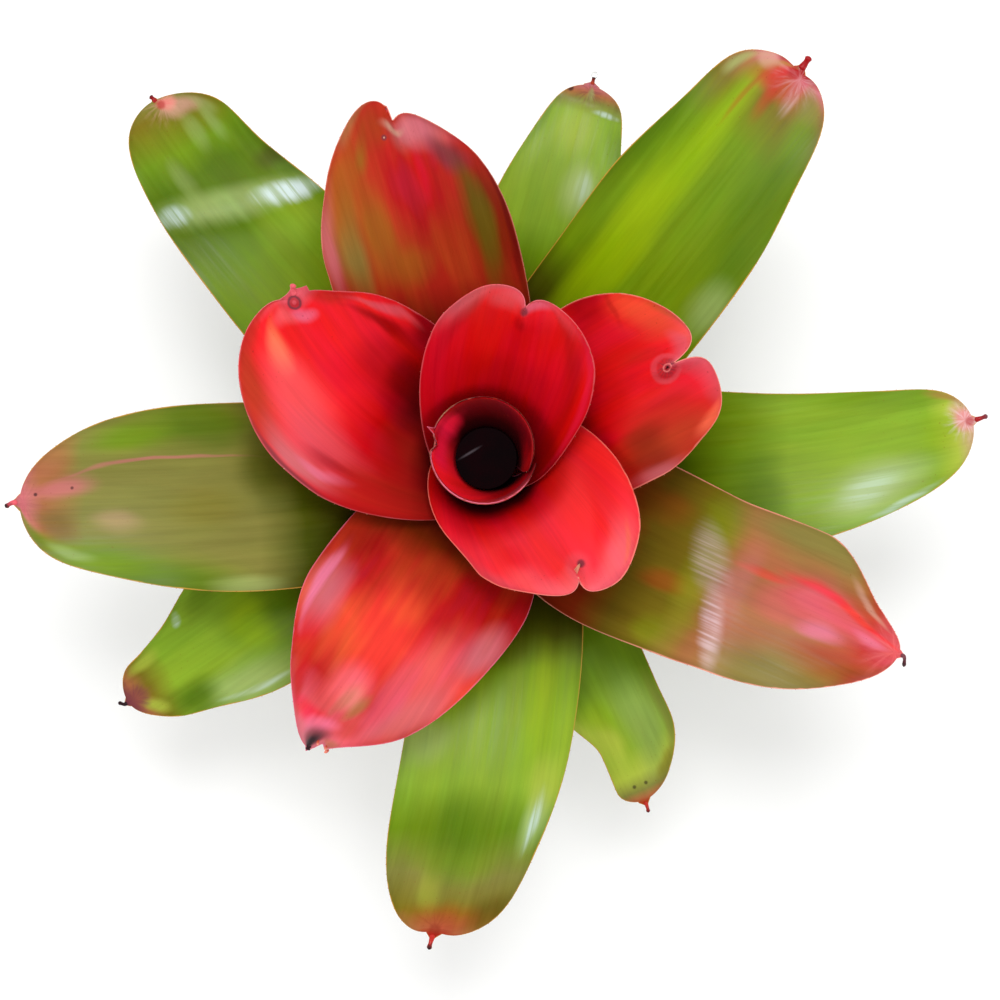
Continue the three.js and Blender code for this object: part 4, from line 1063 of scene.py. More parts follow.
def leaf_point(leaf, k, distance, across):
    """Points on leaf k's middle surface, at distances from the axis and across from the midrib."""
    start = leaf_radius(k)
    t = (distance - start) / (leaf["reach"] - start)
    inside = np.clip(t, 0, 1)
    way = np.radians(leaf["way"] + leaf["swing"] * (1 - t))
    bent = leaf["swing"] * (1 - inside) + leaf["tilt"] * inside**TILT_EASE
    facing = np.radians(leaf["way"] + bent)
    rolled = k == 0
    flat = 0 * t if rolled else smooth(*WRAP_ENDS, distance)
    parted = smooth(*TUBE["parts"], distance) if rolled else 0
    pull, lift, spread, begins = leaf.get("hood", NO_HOOD)
    along = np.clip((distance / leaf["reach"] - begins) / (1 - begins), 0, 1)
    off = across - leaf.get("aside", 0)
    hood = np.exp(-((off / spread) ** 2)) * along**HOOD_EASE
    close, reaches = leaf.get("pinch", NO_PINCH)
    across = across - off * close * np.exp(-((off / reaches) ** 2)) * along**2
    radius = distance + parted * TUBE["spiral"] * across / (TUBE["wrap"] * distance)
    turn = way + across / distance
    x = mix(radius * np.cos(turn), distance * np.cos(way) - across * np.sin(facing), flat)
    y = mix(radius * np.sin(turn), distance * np.sin(way) + across * np.cos(facing), flat)
    radii, heights = leaf_curve(leaf, k)
    at = distance if rolled else np.hypot(x, y)
    past = np.maximum(at - leaf["reach"], 0) * math.tan(math.radians(leaf["fall"]))
    z = np.interp(at, radii, heights) + past
    x = x - pull * hood * np.cos(facing)
    y = y - pull * hood * np.sin(facing)
    z = z + lift * hood
    cup = leaf["cup"] * smooth(CUP["starts"], CUP["full"], distance / leaf["reach"])
    z = z + cup * np.minimum((across / CUP["width"]) ** 2, CUP["most"])
    if rolled:
        up = np.clip((z - STEM_TOP) / TUBE["height"], 0, TUBE["lean_most"]) ** TUBE["lean_ease"]
        x = x + up * TUBE["lean"][0]
        y = y + up * TUBE["lean"][1]
    return np.stack([x, y, z], -1)


def leaf_widths(leaf, k, distance):
    """Half widths right and left, no wider than the sheath's wrap, drawn out to a point at the end."""
    wrap = TUBE["wrap"] if k == 0 else (HEART_WRAP if k < HEART_LEAVES else SHEATH_WRAP)
    past = np.clip((distance - leaf["reach"]) / (leaf["hook"][0] * POINT_SHARE), 0, 1)
    narrow = leaf.get("neck", PLAIN_NECK) * (1 - past) ** 1.2 + POINT_END
    widths = []
    for side in (1, 2):
        half = np.minimum(half_width(leaf, distance / leaf["reach"], side), wrap * distance)
        widths.append(np.maximum(half, narrow))
    return widths


def relief(leaf, k, distance, across, half, sizes):
    """Fine relief in millimetres: broad swells, waved margins, and the leaf's bends and dimples."""
    luck = np.random.default_rng(SEEDS["relief"] + k)
    phase = luck.uniform(0, TAU, 8)
    fade = smooth(0.2, 0.5, distance / leaf["reach"]) * (1 - smooth(0.9, 1.0, distance / leaf["reach"]))
    swells = np.sin(distance / 11 + phase[2]) * np.sin(across / 9 + phase[3])
    swells += np.sin(distance / 17 - across / 23 + phase[4])
    waves = np.sin(distance / 7.5 + phase[5] + (across > 0) * phase[6]) * (np.abs(across) / half) ** 4
    lift = swells * 0.5 * sizes.swell + waves * sizes.margin_wave
    lift = lift / MM * fade * (k > 0)
    for place, width, height, skew in leaf.get("bends", []):
        lift += height * np.exp(-(((distance - place - skew * across) / width) ** 2))
    for place, aside, size, height in leaf.get("dimples", []):
        far = np.hypot(distance - place * leaf["reach"], across - aside) / size
        lift += height * (np.exp(-(((far - 1) / 0.45) ** 2)) - 1.4 * np.exp(-((far / 0.5) ** 2)))
    return lift


def leaf_grid(name, leaf, k, sizes):
    """A blade's middle surface: a grid laid along the leaf, with the maps that its paint reads."""
    clear_selection()
    bpy.ops.mesh.primitive_grid_add(
        x_subdivisions=sizes.columns, y_subdivisions=sizes.rows, size=1, calc_uvs=True)
    piece = take(name)
    flat = coordinates(piece) + 0.5
    first = math.asin(leaf_radius(k) / leaf["reach"])
    sweep = flat[:, 1] * (1 + POINT_ROWS)
    angle = mix(first, math.pi / 2, np.minimum(sweep, 1) ** ROW_CROWDING)
    distance = leaf["reach"] * np.sin(angle)
    distance += np.maximum(sweep - 1, 0) / POINT_ROWS * leaf["hook"][0] * POINT_SHARE
    right, left = leaf_widths(leaf, k, distance)
    across = mix(left, -right, flat[:, 0])
    half = np.where(across > 0, left, right)
    step = 0.05
    out = leaf_point(leaf, k, distance + step, across) - leaf_point(leaf, k, distance - step, across)
    side = leaf_point(leaf, k, distance, across + step) - leaf_point(leaf, k, distance, across - step)
    normal = unit(np.cross(out, side))
    lift = relief(leaf, k, distance, across, half, sizes)
    points = leaf_point(leaf, k, distance, across) + normal * lift[:, None]
    move_points(piece, points * MM)
    store(piece, "edge", np.minimum(left - across, right + across))
    corners = np.empty(len(piece.data.loops), int)
    piece.data.loops.foreach_get("vertex_index", corners)
    maps = {
        "share": np.stack([flat[:, 0], distance / leaf["reach"]], -1),
        "strap": np.stack([across, distance], -1) / STRAP_SCALE,
    }
    piece.data.uv_layers.remove(piece.data.uv_layers[0])
    for title, values in maps.items():
        layer = piece.data.uv_layers.new(name=title)
        layer.data.foreach_set("uv", values[corners].ravel())
    return piece


def thin_margins(piece, sizes):
    """Gives the grid its thickness, thinner towards the margins, with its own under and rim finish."""
    edge = np.empty(len(piece.data.vertices))
    piece.data.attributes["edge"].data.foreach_get("value", edge)
    group = piece.vertex_groups.new(name="body")
    for index, weight in enumerate(smooth(0, THIN_BAND, edge)):
        group.add([index], float(weight), "REPLACE")
    apply_modifier(
        piece, "SOLIDIFY", thickness=sizes.thickness, offset=0, use_quality_normals=True,
        use_even_offset=False, vertex_group="body", thickness_vertex_group=sizes.thin_edge,
        material_offset=1, material_offset_rim=2)
    piece.vertex_groups.clear()


NEARLY_UP = (0.12, 0.07, 1.0)     # no strand runs along this


def tapered(name, path, radii, sides=10, flatten=1.0):
    """A closed round strand along a path in millimetres, as thick as each point's radius.

    The grid that it is made of has one column a side and one row a point of the path.
    """
    path = np.array(path, float)
    radii = np.array(radii, float)
    clear_selection()
    bpy.ops.mesh.primitive_grid_add(x_subdivisions=sides, y_subdivisions=len(path) - 1, size=1)
    piece = take(name)
    flat = coordinates(piece) + 0.5
    row = np.rint(flat[:, 1] * (len(path) - 1)).astype(int)
    turn = TAU * flat[:, 0]
    tangent = unit(np.gradient(path, axis=0))
    side = unit(np.cross(tangent, NEARLY_UP))
    up = np.cross(side, tangent)
    ring = side[row] * np.cos(turn)[:, None] + up[row] * (flatten * np.sin(turn))[:, None]
    points = path[row] + ring * radii[row][:, None]
    move_points(piece, points * MM)
    store(piece, "along", flat[:, 1])
    tidy_mesh(piece)
    return piece


def tidy_mesh(piece):
    """Merges doubled points and turns all faces outwards."""
    pick(piece)
    bpy.ops.object.mode_set(mode="EDIT")
    bpy.ops.mesh.select_all(action="SELECT")
    bpy.ops.mesh.remove_doubles(threshold=1e-6)
    bpy.ops.mesh.normals_make_consistent(inside=False)
    bpy.ops.object.mode_set(mode="OBJECT")


def join(name, pieces):
    clear_selection()
    for piece in pieces:
        piece.select_set(True)
    bpy.context.view_layer.objects.active = pieces[0]
    bpy.ops.object.join()
    return take(name)


def lathe(name, profile, steps):
    """Turns a profile of (radius, height) in millimetres, open at the axis, round the upright axis."""
    clear_selection()
    bpy.ops.mesh.primitive_circle_add(vertices=len(profile), radius=1)
    piece = take(name)
    move_points(piece, np.array([(r, 0, z) for r, z in profile]) * MM)
    bpy.ops.object.mode_set(mode="EDIT")
    mesh = bmesh.from_edit_mesh(piece.data)
    ends = {0, len(profile) - 1}
    closing = next(edge for edge in mesh.edges if {vertex.index for vertex in edge.verts} == ends)
    mesh.edges.remove(closing)
    bmesh.update_edit_mesh(piece.data)
    bpy.ops.mesh.select_all(action="SELECT")
    bpy.ops.mesh.spin(steps=steps, angle=TAU, center=(0, 0, 0), axis=(0, 0, 1))
    bpy.ops.object.mode_set(mode="OBJECT")
    tidy_mesh(piece)
    return piece


def rounded(profile, radius=0.6, steps=3):
    """Rounds the corners of a profile that runs from axis to axis."""
    profile = [np.array(point, float) for point in profile]
    out = [profile[0]]
    for before, corner, after in zip(profile, profile[1:], profile[2:]):
        back = before - corner
        on = after - corner
        cut = min(radius, 0.4 * np.linalg.norm(back), 0.4 * np.linalg.norm(on))
        first = corner + unit(back) * cut
        last = corner + unit(on) * cut
        for i in range(steps + 1):
            t = i / steps
            out.append((1 - t) ** 2 * first + 2 * t * (1 - t) * corner + t * t * last)
    out.append(profile[-1])
    return out


def leaf_node(k):
    return f"leaf_{k + 1:02d}"


def leaf_slot(k):
    """The record's material slot of leaf k."""
    node = leaf_node(k)
    return next(part["material_slot"] for part in frame["record"]["subparts"] if part["node"] == node)


def leaf_frame(leaf, k, distance, across):
    """A point on a leaf with the unit vectors out along it, to its left and up from its face."""
    def at(d, a):
        return leaf_point(leaf, k, np.array([d], float), np.array([a], float))[0]
    out = at(distance + 0.1, across) - at(distance - 0.1, across)
    side = at(distance, across + 0.1) - at(distance, across - 0.1)
    up = unit(np.cross(out, side))
    out = unit(out)
    return at(distance, across), out, np.cross(up, out), up


# ---------- operators ----------

class PieceOperator:
    bl_options = {"REGISTER", "UNDO"}


class NEOREGELIA_OT_leaves(PieceOperator, bpy.types.Operator):
    """Builds the sixteen leaves, from the rolled heart leaf outwards"""

    bl_idname = "neoregelia.leaves"
    bl_label = "Leaves"

    def execute(self, context):
        sizes = settings(context, "blades")
        for k, leaf in enumerate(LEAVES):
            node = leaf_node(k)
            piece = leaf_grid(node + "_blade", leaf, k, sizes)
            for material in (
                leaf_upper(context, node + "_upper", leaf, k),
                leaf_under(context, node + "_under", leaf, k),
                leaf_rim(context, node + "_rim", leaf, k),
            ):
                piece.data.materials.append(material)
            thin_margins(piece, sizes)
            shade(piece, 40)
            dress(piece, [], leaf_slot(k), node)
        return {"FINISHED"}


class NEOREGELIA_OT_points(PieceOperator, bpy.types.Operator):
    """Draws each leaf's tip out into a small hooked point"""

    bl_idname = "neoregelia.points"
    bl_label = "Hooked points"

    def execute(self, context):
        for k, leaf in enumerate(LEAVES):
            length, radius, curl, hue, end = leaf["hook"]
            aside = leaf.get("aside", 0) if k == 0 else 0
            begin = POINT_GAP * length if "neck" in leaf else -POINT_SINK
            start, out, left, up = leaf_frame(leaf, k, leaf["reach"] + begin, aside)
            path = []
            radii = []
            # straight at first, then curled aside and up, with a knob before its round end
            for t in np.linspace(0, 1, 17):
                bend = max(t - 0.3, 0) ** 1.4
                onward = t - 0.3 * abs(curl) * bend
                path.append(start + length * (onward * out + 0.7 * curl * bend * left + 0.5 * bend * up))
                knob = 1.3 - 0.8 * min(t, 0.6) + 0.25 * math.exp(-(((t - 0.85) / 0.1) ** 2))
                closing = math.sqrt(max(0, 1 - (max(t - 0.85, 0) / 0.15) ** 2))
                radii.append(radius * knob * closing * min(1, 0.2 + 6 * t))
            radii[0] = radii[-1] = 0.0
            piece = tapered(leaf_node(k) + "_point", path, radii, flatten=0.7)
            shade(piece, 60)
            material = fleshy(context, piece.name, hue, end, 0.45, 0.95)
            dress(piece, [material], leaf_slot(k))
        return {"FINISHED"}


class NEOREGELIA_OT_spines(PieceOperator, bpy.types.Operator):
    """Sets small spines along both margins of each leaf, pointing towards its tip"""

    bl_idname = "neoregelia.spines"
    bl_label = "Margin spines"

    def execute(self, context):
        sizes = settings(context, "blades")
        for k, leaf in enumerate(LEAVES):
            luck = np.random.default_rng(SEEDS["spines"] + k)
            places = []
            spacing = sizes.spine_spacing / MM * (0.6 if k < HEART_LEAVES else 1.0)
            for side in (-1, 1):
                distance = max(SPINE_SPAN[0] * leaf["reach"], leaf_radius(k) + 3)
                while distance < SPINE_SPAN[1] * leaf["reach"]:
                    places.append(self.spine(leaf, k, distance, side, sizes.spine_length, luck))
                    closer = math.sqrt(1 - (distance / leaf["reach"]) ** 4)
                    distance += spacing * luck.uniform(0.7, 1.3) * closer + 0.25
            clear_selection()
            bpy.ops.mesh.primitive_cone_add(vertices=5, radius1=0.32, radius2=0, depth=1)
            template = take("spine")
            points = coordinates(template) + (0, 0, 0.5)
            points[:, 0] += 0.3 * points[:, 2] ** 2
            points[:, 1] *= 0.6
            move_points(template, points)
            piece = copies(leaf_node(k) + "_spines", template, places)
            hue = "husk" if k < HEART_LEAVES else "brick"
            dress(piece, [spine_horn(context, piece.name, hue)], leaf_slot(k))
        return {"FINISHED"}

    def spine(self, leaf, k, distance, side, length, luck):
        """The 4x4 place of one spine: its length leans out from the margin and towards the tip."""
        def margin(d):
            right, left = leaf_widths(leaf, k, np.array([d]))
            across = left[0] if side > 0 else -right[0]
            return leaf_frame(leaf, k, d, across)
        here, *_, up = margin(distance)
        ahead = unit(margin(distance + 0.4)[0] - here)
        away = np.cross(ahead, up) * -side
        grow = unit(ahead * luck.uniform(0.25, 0.6) + away)
        tall = length * luck.uniform(0.6, 1.2)
        bend = np.cross(up, grow)
        place = np.eye(4)
        place[:3, 0] = -side * bend * tall
        place[:3, 1] = -side * up * tall
        place[:3, 2] = grow * tall
        place[:3, 3] = here * MM - grow * tall * 0.15
        return place


def spine_horn(context, name, hue):
    paint = Paint(name)
    grain = paint.noise(paint.object_place(), scale=500.0).outputs["Fac"]
    tone = paint.ramp(grain, [(0.35, leaf_colour(context, hue)), (0.7, leaf_colour(context, "russet"))])
    paint.set(Base_Color=tone, Roughness=0.45, Specular_IOR_Level=0.3)
    return paint.material


class NEOREGELIA_OT_water(PieceOperator, bpy.types.Operator):
    """Fills the rolled leaf with still water, painted dark as the cup's shade, and hangs a drop on a far
    tip
    """

    bl_idname = "neoregelia.water"
    bl_label = "Water"

    def execute(self, context):
        low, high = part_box("cup_water")
        radius = (high[0] - low[0]) / 2 / MM
        depth = (high[2] - low[2]) / MM
        top = high[2] / MM
        profile = [(radius * share, top) for share in np.linspace(0, 1, 12)]
        for share in np.linspace(0.1, 1, 8):
            profile.append((radius * mix(1, 0.72, share), top - depth * share))
        profile.append((0, top - depth))
        piece = lathe("cup_water_body", profile, 64)
        points = coordinates(piece)
        lean = ((points[:, 2] / MM - STEM_TOP) / TUBE["height"]) ** TUBE["lean_ease"]
        points[:, 0] += lean * TUBE["lean"][0] * MM
        points[:, 1] += lean * TUBE["lean"][1] * MM
        move_points(piece, points)
        shade(piece, 60)
        dress(piece, [still_water(context)], "water", "cup_water")

        leaf = LEAVES[DROP_LEAF]
        start, out = leaf_frame(leaf, DROP_LEAF, leaf["reach"], 0.0)[:2]
        start = start + out * leaf["hook"][0] * 1.4 + np.array((0, 0, 0.4))
        clear_selection()
        bpy.ops.mesh.primitive_uv_sphere_add(segments=24, ring_count=16, radius=0.0013)
        drop = take("tip_drop")
        points = coordinates(drop)
        points[:, 2] *= 0.85
        move_points(drop, points + start * MM)
        shade(drop, 60)
        dress(drop, [clear_drop()], "water")
        return {"FINISHED"}


class NEOREGELIA_OT_pot(PieceOperator, bpy.types.Operator):
    """Turns the nursery pot with its collar, rolled lip and drain holes"""

    bl_idname = "neoregelia.pot"
    bl_label = "Pot"

    def execute(self, context):
        pot = settings(context, "pot")
        height = pot.height / MM
        base = pot.base_radius / MM
        wall = pot.wall / MM
        foot, bevel, low, soft = POT["foot"], POT["bevel"], POT["lip_height"], POT["lip_round"]
        inner, outer = POT["foot_ring"]
        shoulder, collar, rim, lip = POT["shoulder"], POT["collar"], POT["rim"], POT["lip"]
        profile = [
            (0, foot), (base - inner, foot), (base - outer, 0), (base - bevel, 0), (base, bevel),
            (shoulder, POT["shoulder_height"]), (collar, POT["collar_height"]),
            (rim, height - low - soft), (lip, height - low), (lip, height - soft),
            (lip - soft, height), (rim - soft, height), (rim - wall, height - soft),
            (collar - wall, POT["collar_height"] + 1), (shoulder - wall, POT["shoulder_height"] + 0.5),
            (base - wall, POT["floor"]), (0, POT["floor"]),
        ]
        piece = lathe("pot_shell", rounded(profile), 128)
        points = coordinates(piece)
        radius = np.hypot(points[:, 0], points[:, 1])
        turn = np.arctan2(points[:, 1], points[:, 0])
        wallband = smooth(0.006, 0.014, points[:, 2]) * (1 - smooth(0.078, 0.088, points[:, 2]))
        up = points[:, 2] / (POT["shoulder_height"] * MM)
        outside = radius > (base + (shoulder - base) * up - 1) * MM
        rib = wallband * outside * (np.cos(turn * POT["ribs"]) > 0.9) * POT["rib_depth"] * MM
        points[:, 0] -= rib * np.cos(turn)
        points[:, 1] -= rib * np.sin(turn)
        move_points(piece, points)
        drills = []
        ring = POT["drain_ring"] * MM
        bore = POT["drain_radius"] * MM
        for i in range(POT["drains"]):
            turn = TAU * (i + 0.5) / POT["drains"]
            clear_selection()
            place = (ring * math.cos(turn), ring * math.sin(turn), 0)
            bpy.ops.mesh.primitive_cylinder_add(vertices=32, radius=bore, depth=0.01, location=place)
            drills.append(take("drill"))
        cutter = join("drill", drills)
        apply_modifier(piece, "BOOLEAN", operation="DIFFERENCE", solver="EXACT", object=cutter)
        bpy.data.objects.remove(cutter)
        shade(piece, 35)
        dress(piece, [pot_plastic(context)], "pot_plastic", "pot")
        return {"FINISHED"}


def mix_level(x, y):
    """Height of the mounded mix at a place, in millimetres."""
    radius = np.hypot(x, y)
    mound = MIX["mound"] * (0.5 - smooth(*MIX["mound_span"], radius))
    lumps = np.sin(0.31 * x + 0.12 * y + 1) * np.cos(0.27 * y - 0.1 * x)
    crumbs = np.sin(0.9 * x + 0.3 * y) * np.cos(0.8 * y - 0.2 * x)
    return MIX["level"] + MIX["crest"] + mound + 0.6 * lumps + 0.35 * crumbs


class NEOREGELIA_OT_mix(PieceOperator, bpy.types.Operator):
    """Fills the pot with fine peat, with bark pieces and perlite grains on top"""

    bl_idname = "neoregelia.mix"
    bl_label = "Potting mix"

    def execute(self, context):
        pot = settings(context, "pot")
        inside = pot.wall / MM + MIX["gap"]
        profile = [
            (0, 3), (pot.base_radius / MM - inside, 3),
            (POT["shoulder"] - inside, POT["shoulder_height"] + 1),
            (POT["collar"] - inside, POT["collar_height"] + 1),
        ]
        rings = np.linspace(POT["collar"] - inside, MIX["hole"], 34)
        profile.extend((ring, MIX["level"]) for ring in rings)
        profile.extend([(MIX["hole"], MIX["hole_floor"]), (0, MIX["hole_floor"])])
        piece = lathe("potting_mix_fill", profile, 128)
        points = coordinates(piece)
        top = points[:, 2] > (MIX["level"] - 0.5) * MM
        points[top, 2] = mix_level(points[top, 0] / MM, points[top, 1] / MM) * MM
        move_points(piece, points)
        shade(piece, 60)
        peat = crumbly("peat", pot.peat, [c * 1.8 for c in pot.peat], 260)
        dress(piece, [peat], "potting_mix", "potting_mix")

        luck = np.random.default_rng(SEEDS["mix"])
        bark = crumbly("bark", [c * 0.6 for c in pot.bark], [min(c * 1.5, 1) for c in pot.bark], 130)
        kinds = 3
        for kind in range(kinds):
            places = scatter(luck, pot.bark_pieces // kinds, (2.2, 5.2), 0.32)
            chips = copies(f"bark_chips_{kind + 1}", lump("chip", luck), places)
            dress(chips, [bark], "potting_mix")
        grains = copies("perlite", lump("grain", luck), scatter(luck, pot.perlite_grains, (0.9, 1.9), 0.8))
        white = crumbly("perlite", pot.perlite, [min(c * 1.1, 1) for c in pot.perlite], 700)
        dress(grains, [white], "potting_mix")
        return {"FINISHED"}


def lump(name, luck):
    """A small angular lump, a millimetre across before it is placed."""
    clear_selection()
    bpy.ops.mesh.primitive_ico_sphere_add(subdivisions=1, radius=1)
    piece = take(name)
    points = coordinates(piece)
    points *= luck.uniform(0.7, 1.25, (len(points), 1))
    move_points(piece, points)
    return piece


def scatter(luck, count, sizes, flatness):
    """Places for loose pieces on the mix, between the stem and the pot, turned at random."""
    places = []
    for _ in range(count):
        size = luck.uniform(*sizes)
        radius = math.sqrt(luck.uniform(MIX["clear"] ** 2, (MIX["edge"] - size) ** 2))
        turn = luck.uniform(0, TAU)
        x = radius * math.cos(turn)
        y = radius * math.sin(turn)
        spin = luck.uniform(0, TAU)
        lean = luck.uniform(-0.35, 0.35, 2)
        across = unit(np.array((math.cos(spin), math.sin(spin), lean[0])))
        side = unit(np.cross((lean[1], 0.3 * lean[0], 1.0), across))
        up = np.cross(across, side)
        place = np.eye(4)
        place[:3, 0] = across * size * MM
        place[:3, 1] = side * size * luck.uniform(0.4, 0.8) * MM
        place[:3, 2] = up * size * flatness * luck.uniform(0.7, 1.3) * MM
        place[:3, 3] = np.array((x, y, mix_level(x, y) + 0.15 * size)) * MM
        places.append(place)
    return places


class NEOREGELIA_OT_stem(PieceOperator, bpy.types.Operator):
    """Finishes the stem and leaves dry scales of old leaves round its foot"""

    bl_idname = "neoregelia.stem"
    bl_label = "Stem and old scales"

    def execute(self, context):
        stem = frame["nodes"]["stem"]
        stem.data.materials.clear()
        stem.data.materials.append(papery(context, "stem_bark", "brick", "husk"))
        luck = np.random.default_rng(SEEDS["scales"])
        scales = []
        for i in range(OLD_SCALES["count"]):
            turn = TAU * (i * OLD_SCALES["turn"]) + luck.uniform(-0.2, 0.2)
            scales.append(self.scale(f"old_scale_{i + 1}", turn, luck))
        piece = join("old_scales", scales)
        shade(piece, 60)
        dress(piece, [papery(context, "old_scale", "brick", "husk")], "stem")
        return {"FINISHED"}

    def scale(self, name, turn, luck):
        """One dry strap that leaves the stem low down and curls out over the mix."""
        clear_selection()
        bpy.ops.mesh.primitive_grid_add(x_subdivisions=10, y_subdivisions=14, size=1)
        piece = take(name)
        flat = coordinates(piece) + (0.5, 0.5, 0)
        length = luck.uniform(9, 15)
        width = luck.uniform(6, 9) * (1 - 0.85 * flat[:, 1] ** 2)
        across = (flat[:, 0] - 0.5) * 2 * width
        out = OLD_SCALES["root"] + length * flat[:, 1]
        angle = turn + across / out
        drop = 8.4 * (1 - flat[:, 1]) ** 1.3
        x = out * np.cos(angle)
        y = out * np.sin(angle)
        crumple = 0.5 * np.sin(flat[:, 0] * 9 + turn) * flat[:, 1]
        curl = 1.5 * flat[:, 1] ** 3 + 1.4 * (flat[:, 0] - 0.5) ** 2
        z = mix_level(x, y) + 2.2 + drop * 0.8 + crumple + curl
        move_points(piece, np.stack([x, y, z], -1) * MM)
        apply_modifier(piece, "SOLIDIFY", thickness=0.0005, offset=0)
        return piece


def papery(context, name, dark, pale):
    """Dry brown leaf base: streaked, matt and finely ribbed."""
    paint = Paint(name)
    place = paint.placed(paint.object_place(), (1, 1, 0.35))
    streak = paint.noise(place, scale=420.0, detail=4.0, roughness=0.6).outputs["Fac"]
    broad = paint.noise(place, scale=60.0, detail=3.0).outputs["Fac"]
    tone = paint.ramp(streak, [(0.3, leaf_colour(context, dark)), (0.75, leaf_colour(context, pale))])
    tone = paint.blend(paint.ranged(broad, 0.4, 0.7, 0.0, 0.6), tone, leaf_colour(context, "shade"))
    paint.set(Base_Color=tone, Roughness=paint.ranged(streak, 0.3, 0.7, 0.6, 0.85))
    paint.set(Normal=paint.bump(streak, 0.0004, 0.7), Specular_IOR_Level=0.25)
    return paint.material


class NEOREGELIA_OT_torn(PieceOperator, bpy.types.Operator):
    """Adds the frayed fibres of one heart leaf and the dead, torn end of one outer red leaf"""

    bl_idname = "neoregelia.torn"
    bl_label = "Torn ends"

    def execute(self, context):
        luck = np.random.default_rng(SEEDS["fibres"])
        leaf = LEAVES[FRAYED_LEAF]
        strands = []
        root_share = 0.82
        root_across = 6

        def on_leaf(share, across):
            return leaf_frame(leaf, FRAYED_LEAF, share * leaf["reach"], across)[0]
        start = on_leaf(root_share, root_across)
        for i in range(7):
            share = luck.uniform(0.92, 0.975)
            across = luck.uniform(-3.2, -0.4)
            finish = on_leaf(share, across)
            path = []
            for t in np.linspace(0, 1, 9):
                below = on_leaf(mix(root_share, share, t), mix(root_across, across, t))
                x, y, z = mix(start, finish, t)
                path.append((x, y, max(z, below[2]) + 0.5 + 0.5 * math.sin(math.pi * t)))
            radii = [0.0, 0.26, 0.32, 0.3, 0.27, 0.24, 0.2, 0.12, 0.0]
            strands.append(tapered(f"fibre_{i}", path, radii, sides=6))
        fibres = join("notch_fibres", strands)
        shade(fibres, 60)
        dress(fibres, [fleshy(context, "notch_fibres", "husk", "peach", 0.2, 0.9)], leaf_slot(FRAYED_LEAF))

        leaf = LEAVES[TORN_LEAF]
        curls = []
        for i, (across, length, lean) in enumerate([(1.4, 3.5, 0.9), (4.6, 3.2, 0.5), (6.4, 3.4, -0.6)]):
            start, out, left, up = leaf_frame(leaf, TORN_LEAF, 0.965 * leaf["reach"], across)
            path = []
            for t in np.linspace(0, 1, 9):
                forward = out * (t - 0.35 * t * t) + left * lean * t * 0.4
                path.append(start + up * (0.3 + 0.6 * t * t) + forward * length)
            radii = [0.0, 0.4, 0.55, 0.6, 0.55, 0.5, 0.4, 0.25, 0.0]
            curls.append(tapered(f"curl_{i}", path, radii, sides=8, flatten=0.4))
        torn = join("torn_end", curls)
        shade(torn, 60)
        dress(torn, [fleshy(context, "torn_end", "brick", "peach", 0.1, 0.9)], leaf_slot(TORN_LEAF))
        return {"FINISHED"}


class NEOREGELIA_OT_stage(PieceOperator, bpy.types.Operator):
    """Lays a white floor and sets the overhead camera and the soft lights"""

    bl_idname = "neoregelia.stage"
    bl_label = "Stage"

    def execute(self, context):
        stage = settings(context, "stage")
        scene = context.scene
        clear_selection()
        bpy.ops.mesh.primitive_plane_add(size=stage.floor_size)
        floor = take("floor")
        paint = Paint("floor_white")
        haze = paint.noise(paint.object_place(), scale=3.0).outputs["Fac"]
        paint.set(Base_Color=paint.ramp(haze, [(0, (0.95, 0.95, 0.95, 1)), (1, (0.97, 0.97, 0.97, 1))]))
        paint.set(Roughness=0.9, Specular_IOR_Level=0.0)
        floor.data.materials.append(paint.material)

        camera = bpy.data.cameras.new("camera")
        camera.lens = stage.focal_length
        camera.sensor_width = 36
        camera.clip_start = 0.01
        view = bpy.data.objects.new("camera", camera)
        view.location = (*VIEW_CENTRE, stage.camera_height)
        scene.collection.objects.link(view)
        scene.camera = view

        soft_box("key_light", (0.02, 0.42, 1.7), (0.5, 0.4), stage.key_power)
        soft_box("east_light", (1.3, -0.1, 0.75), (0.3, 0.9), stage.side_power)
        soft_box("west_light", (-1.2, 0.3, 0.9), (0.3, 0.9), stage.side_power)
        scene.world = surround(stage.sky, stage.sky_gloss)
        scene.view_settings.view_transform = "Standard"
        scene.view_settings.look = "None"
        return {"FINISHED"}


def surround(strength, gloss):
    """An even white surround that shows only faintly in glossy reflections."""
    world = bpy.data.worlds.new("surround")
    world.use_nodes = True
    tree = world.node_tree
    path = tree.nodes.new("ShaderNodeLightPath")
    level = tree.nodes.new("ShaderNodeMapRange")
    level.inputs["To Min"].default_value = strength
    level.inputs["To Max"].default_value = gloss
    background = tree.nodes["Background"]
    background.inputs["Color"].default_value = (1, 1, 1, 1)
    tree.links.new(path.outputs["Is Glossy Ray"], level.inputs["Value"])
    tree.links.new(level.outputs["Result"], background.inputs["Strength"])
    return world


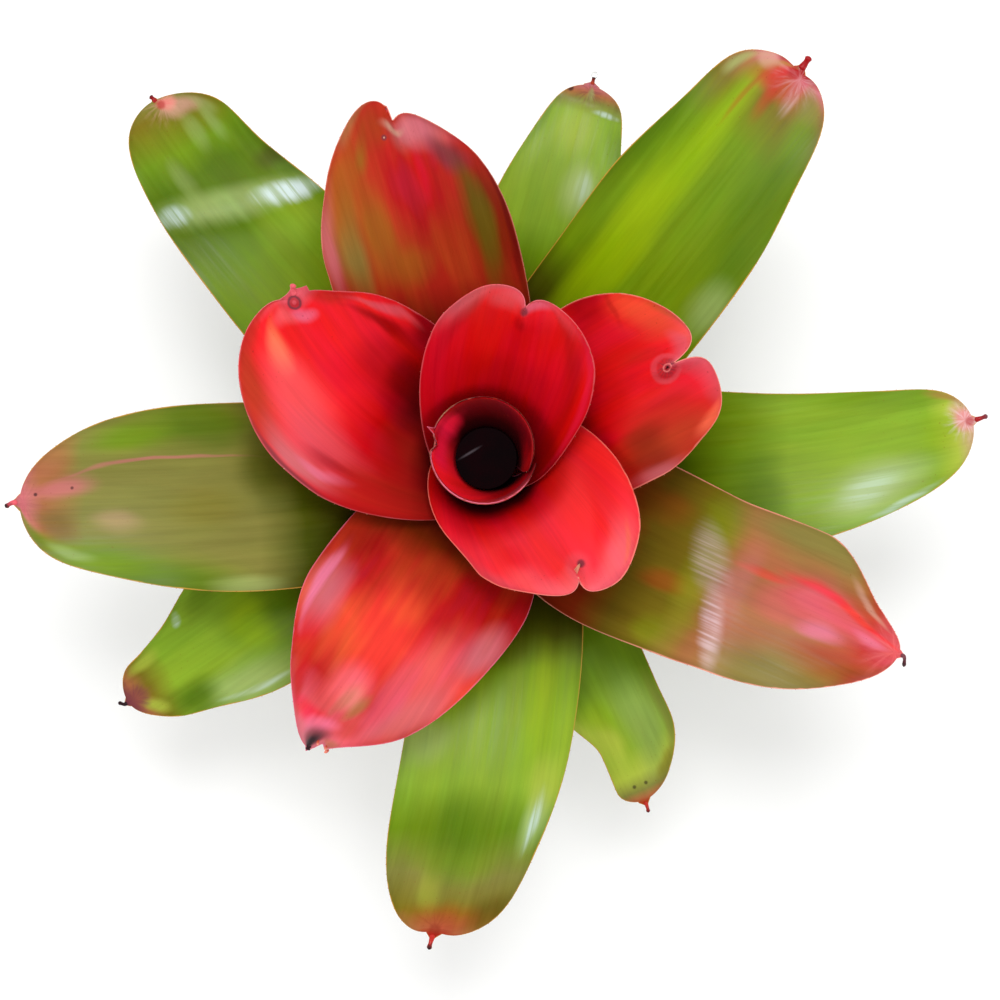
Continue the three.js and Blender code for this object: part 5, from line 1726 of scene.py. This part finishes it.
def soft_box(name, place, size, power):
    """A rectangular soft light aimed at the heart of the rosette."""
    light = bpy.data.lights.new(name, "AREA")
    light.shape = "RECTANGLE"
    light.size, light.size_y = size
    light.energy = power
    lamp = bpy.data.objects.new(name, light)
    lamp.location = place
    aim = unit(np.array(HEART) - np.array(place))
    lamp.rotation_euler = (math.acos(-aim[2]), 0, math.atan2(aim[0], -aim[1]) + math.pi)
    bpy.context.scene.collection.objects.link(lamp)


# ---------- the add-on ----------

GROUPS = {"colours": LeafColours, "blades": BladeSizes, "pot": PotSettings, "stage": StageSettings}
OPERATORS = (
    NEOREGELIA_OT_stage, NEOREGELIA_OT_pot, NEOREGELIA_OT_mix, NEOREGELIA_OT_stem,
    NEOREGELIA_OT_leaves, NEOREGELIA_OT_points, NEOREGELIA_OT_spines, NEOREGELIA_OT_torn,
    NEOREGELIA_OT_water,
)


class NEOREGELIA_PT_panel(bpy.types.Panel):
    """Lists the pieces of the plant in the order they are built"""

    bl_idname = "NEOREGELIA_PT_panel"
    bl_label = "Potted neoregelia"
    bl_space_type = "VIEW_3D"
    bl_region_type = "UI"
    bl_category = "Neoregelia"

    def draw(self, context):
        for operator in OPERATORS:
            self.layout.operator(operator.bl_idname)
        for title in GROUPS:
            box = self.layout.box()
            box.label(text=title.capitalize())
            group = settings(context, title)
            for key in group.__annotations__:
                box.prop(group, key)


def register():
    for title, group in GROUPS.items():
        bpy.utils.register_class(group)
        setattr(bpy.types.Scene, "neoregelia_" + title, PointerProperty(type=group))
    for operator in OPERATORS:
        bpy.utils.register_class(operator)
    bpy.utils.register_class(NEOREGELIA_PT_panel)


def unregister():
    bpy.utils.unregister_class(NEOREGELIA_PT_panel)
    for operator in reversed(OPERATORS):
        bpy.utils.unregister_class(operator)
    for title, group in GROUPS.items():
        delattr(bpy.types.Scene, "neoregelia_" + title)
        bpy.utils.unregister_class(group)


def main():
    register()
    bpy.ops.neoregelia.stage()
    bpy.ops.neoregelia.pot()
    bpy.ops.neoregelia.mix()
    bpy.ops.neoregelia.stem()
    bpy.ops.neoregelia.leaves()
    bpy.ops.neoregelia.points()
    bpy.ops.neoregelia.spines()
    bpy.ops.neoregelia.torn()
    bpy.ops.neoregelia.water()


if __name__ == "__main__":
    main()
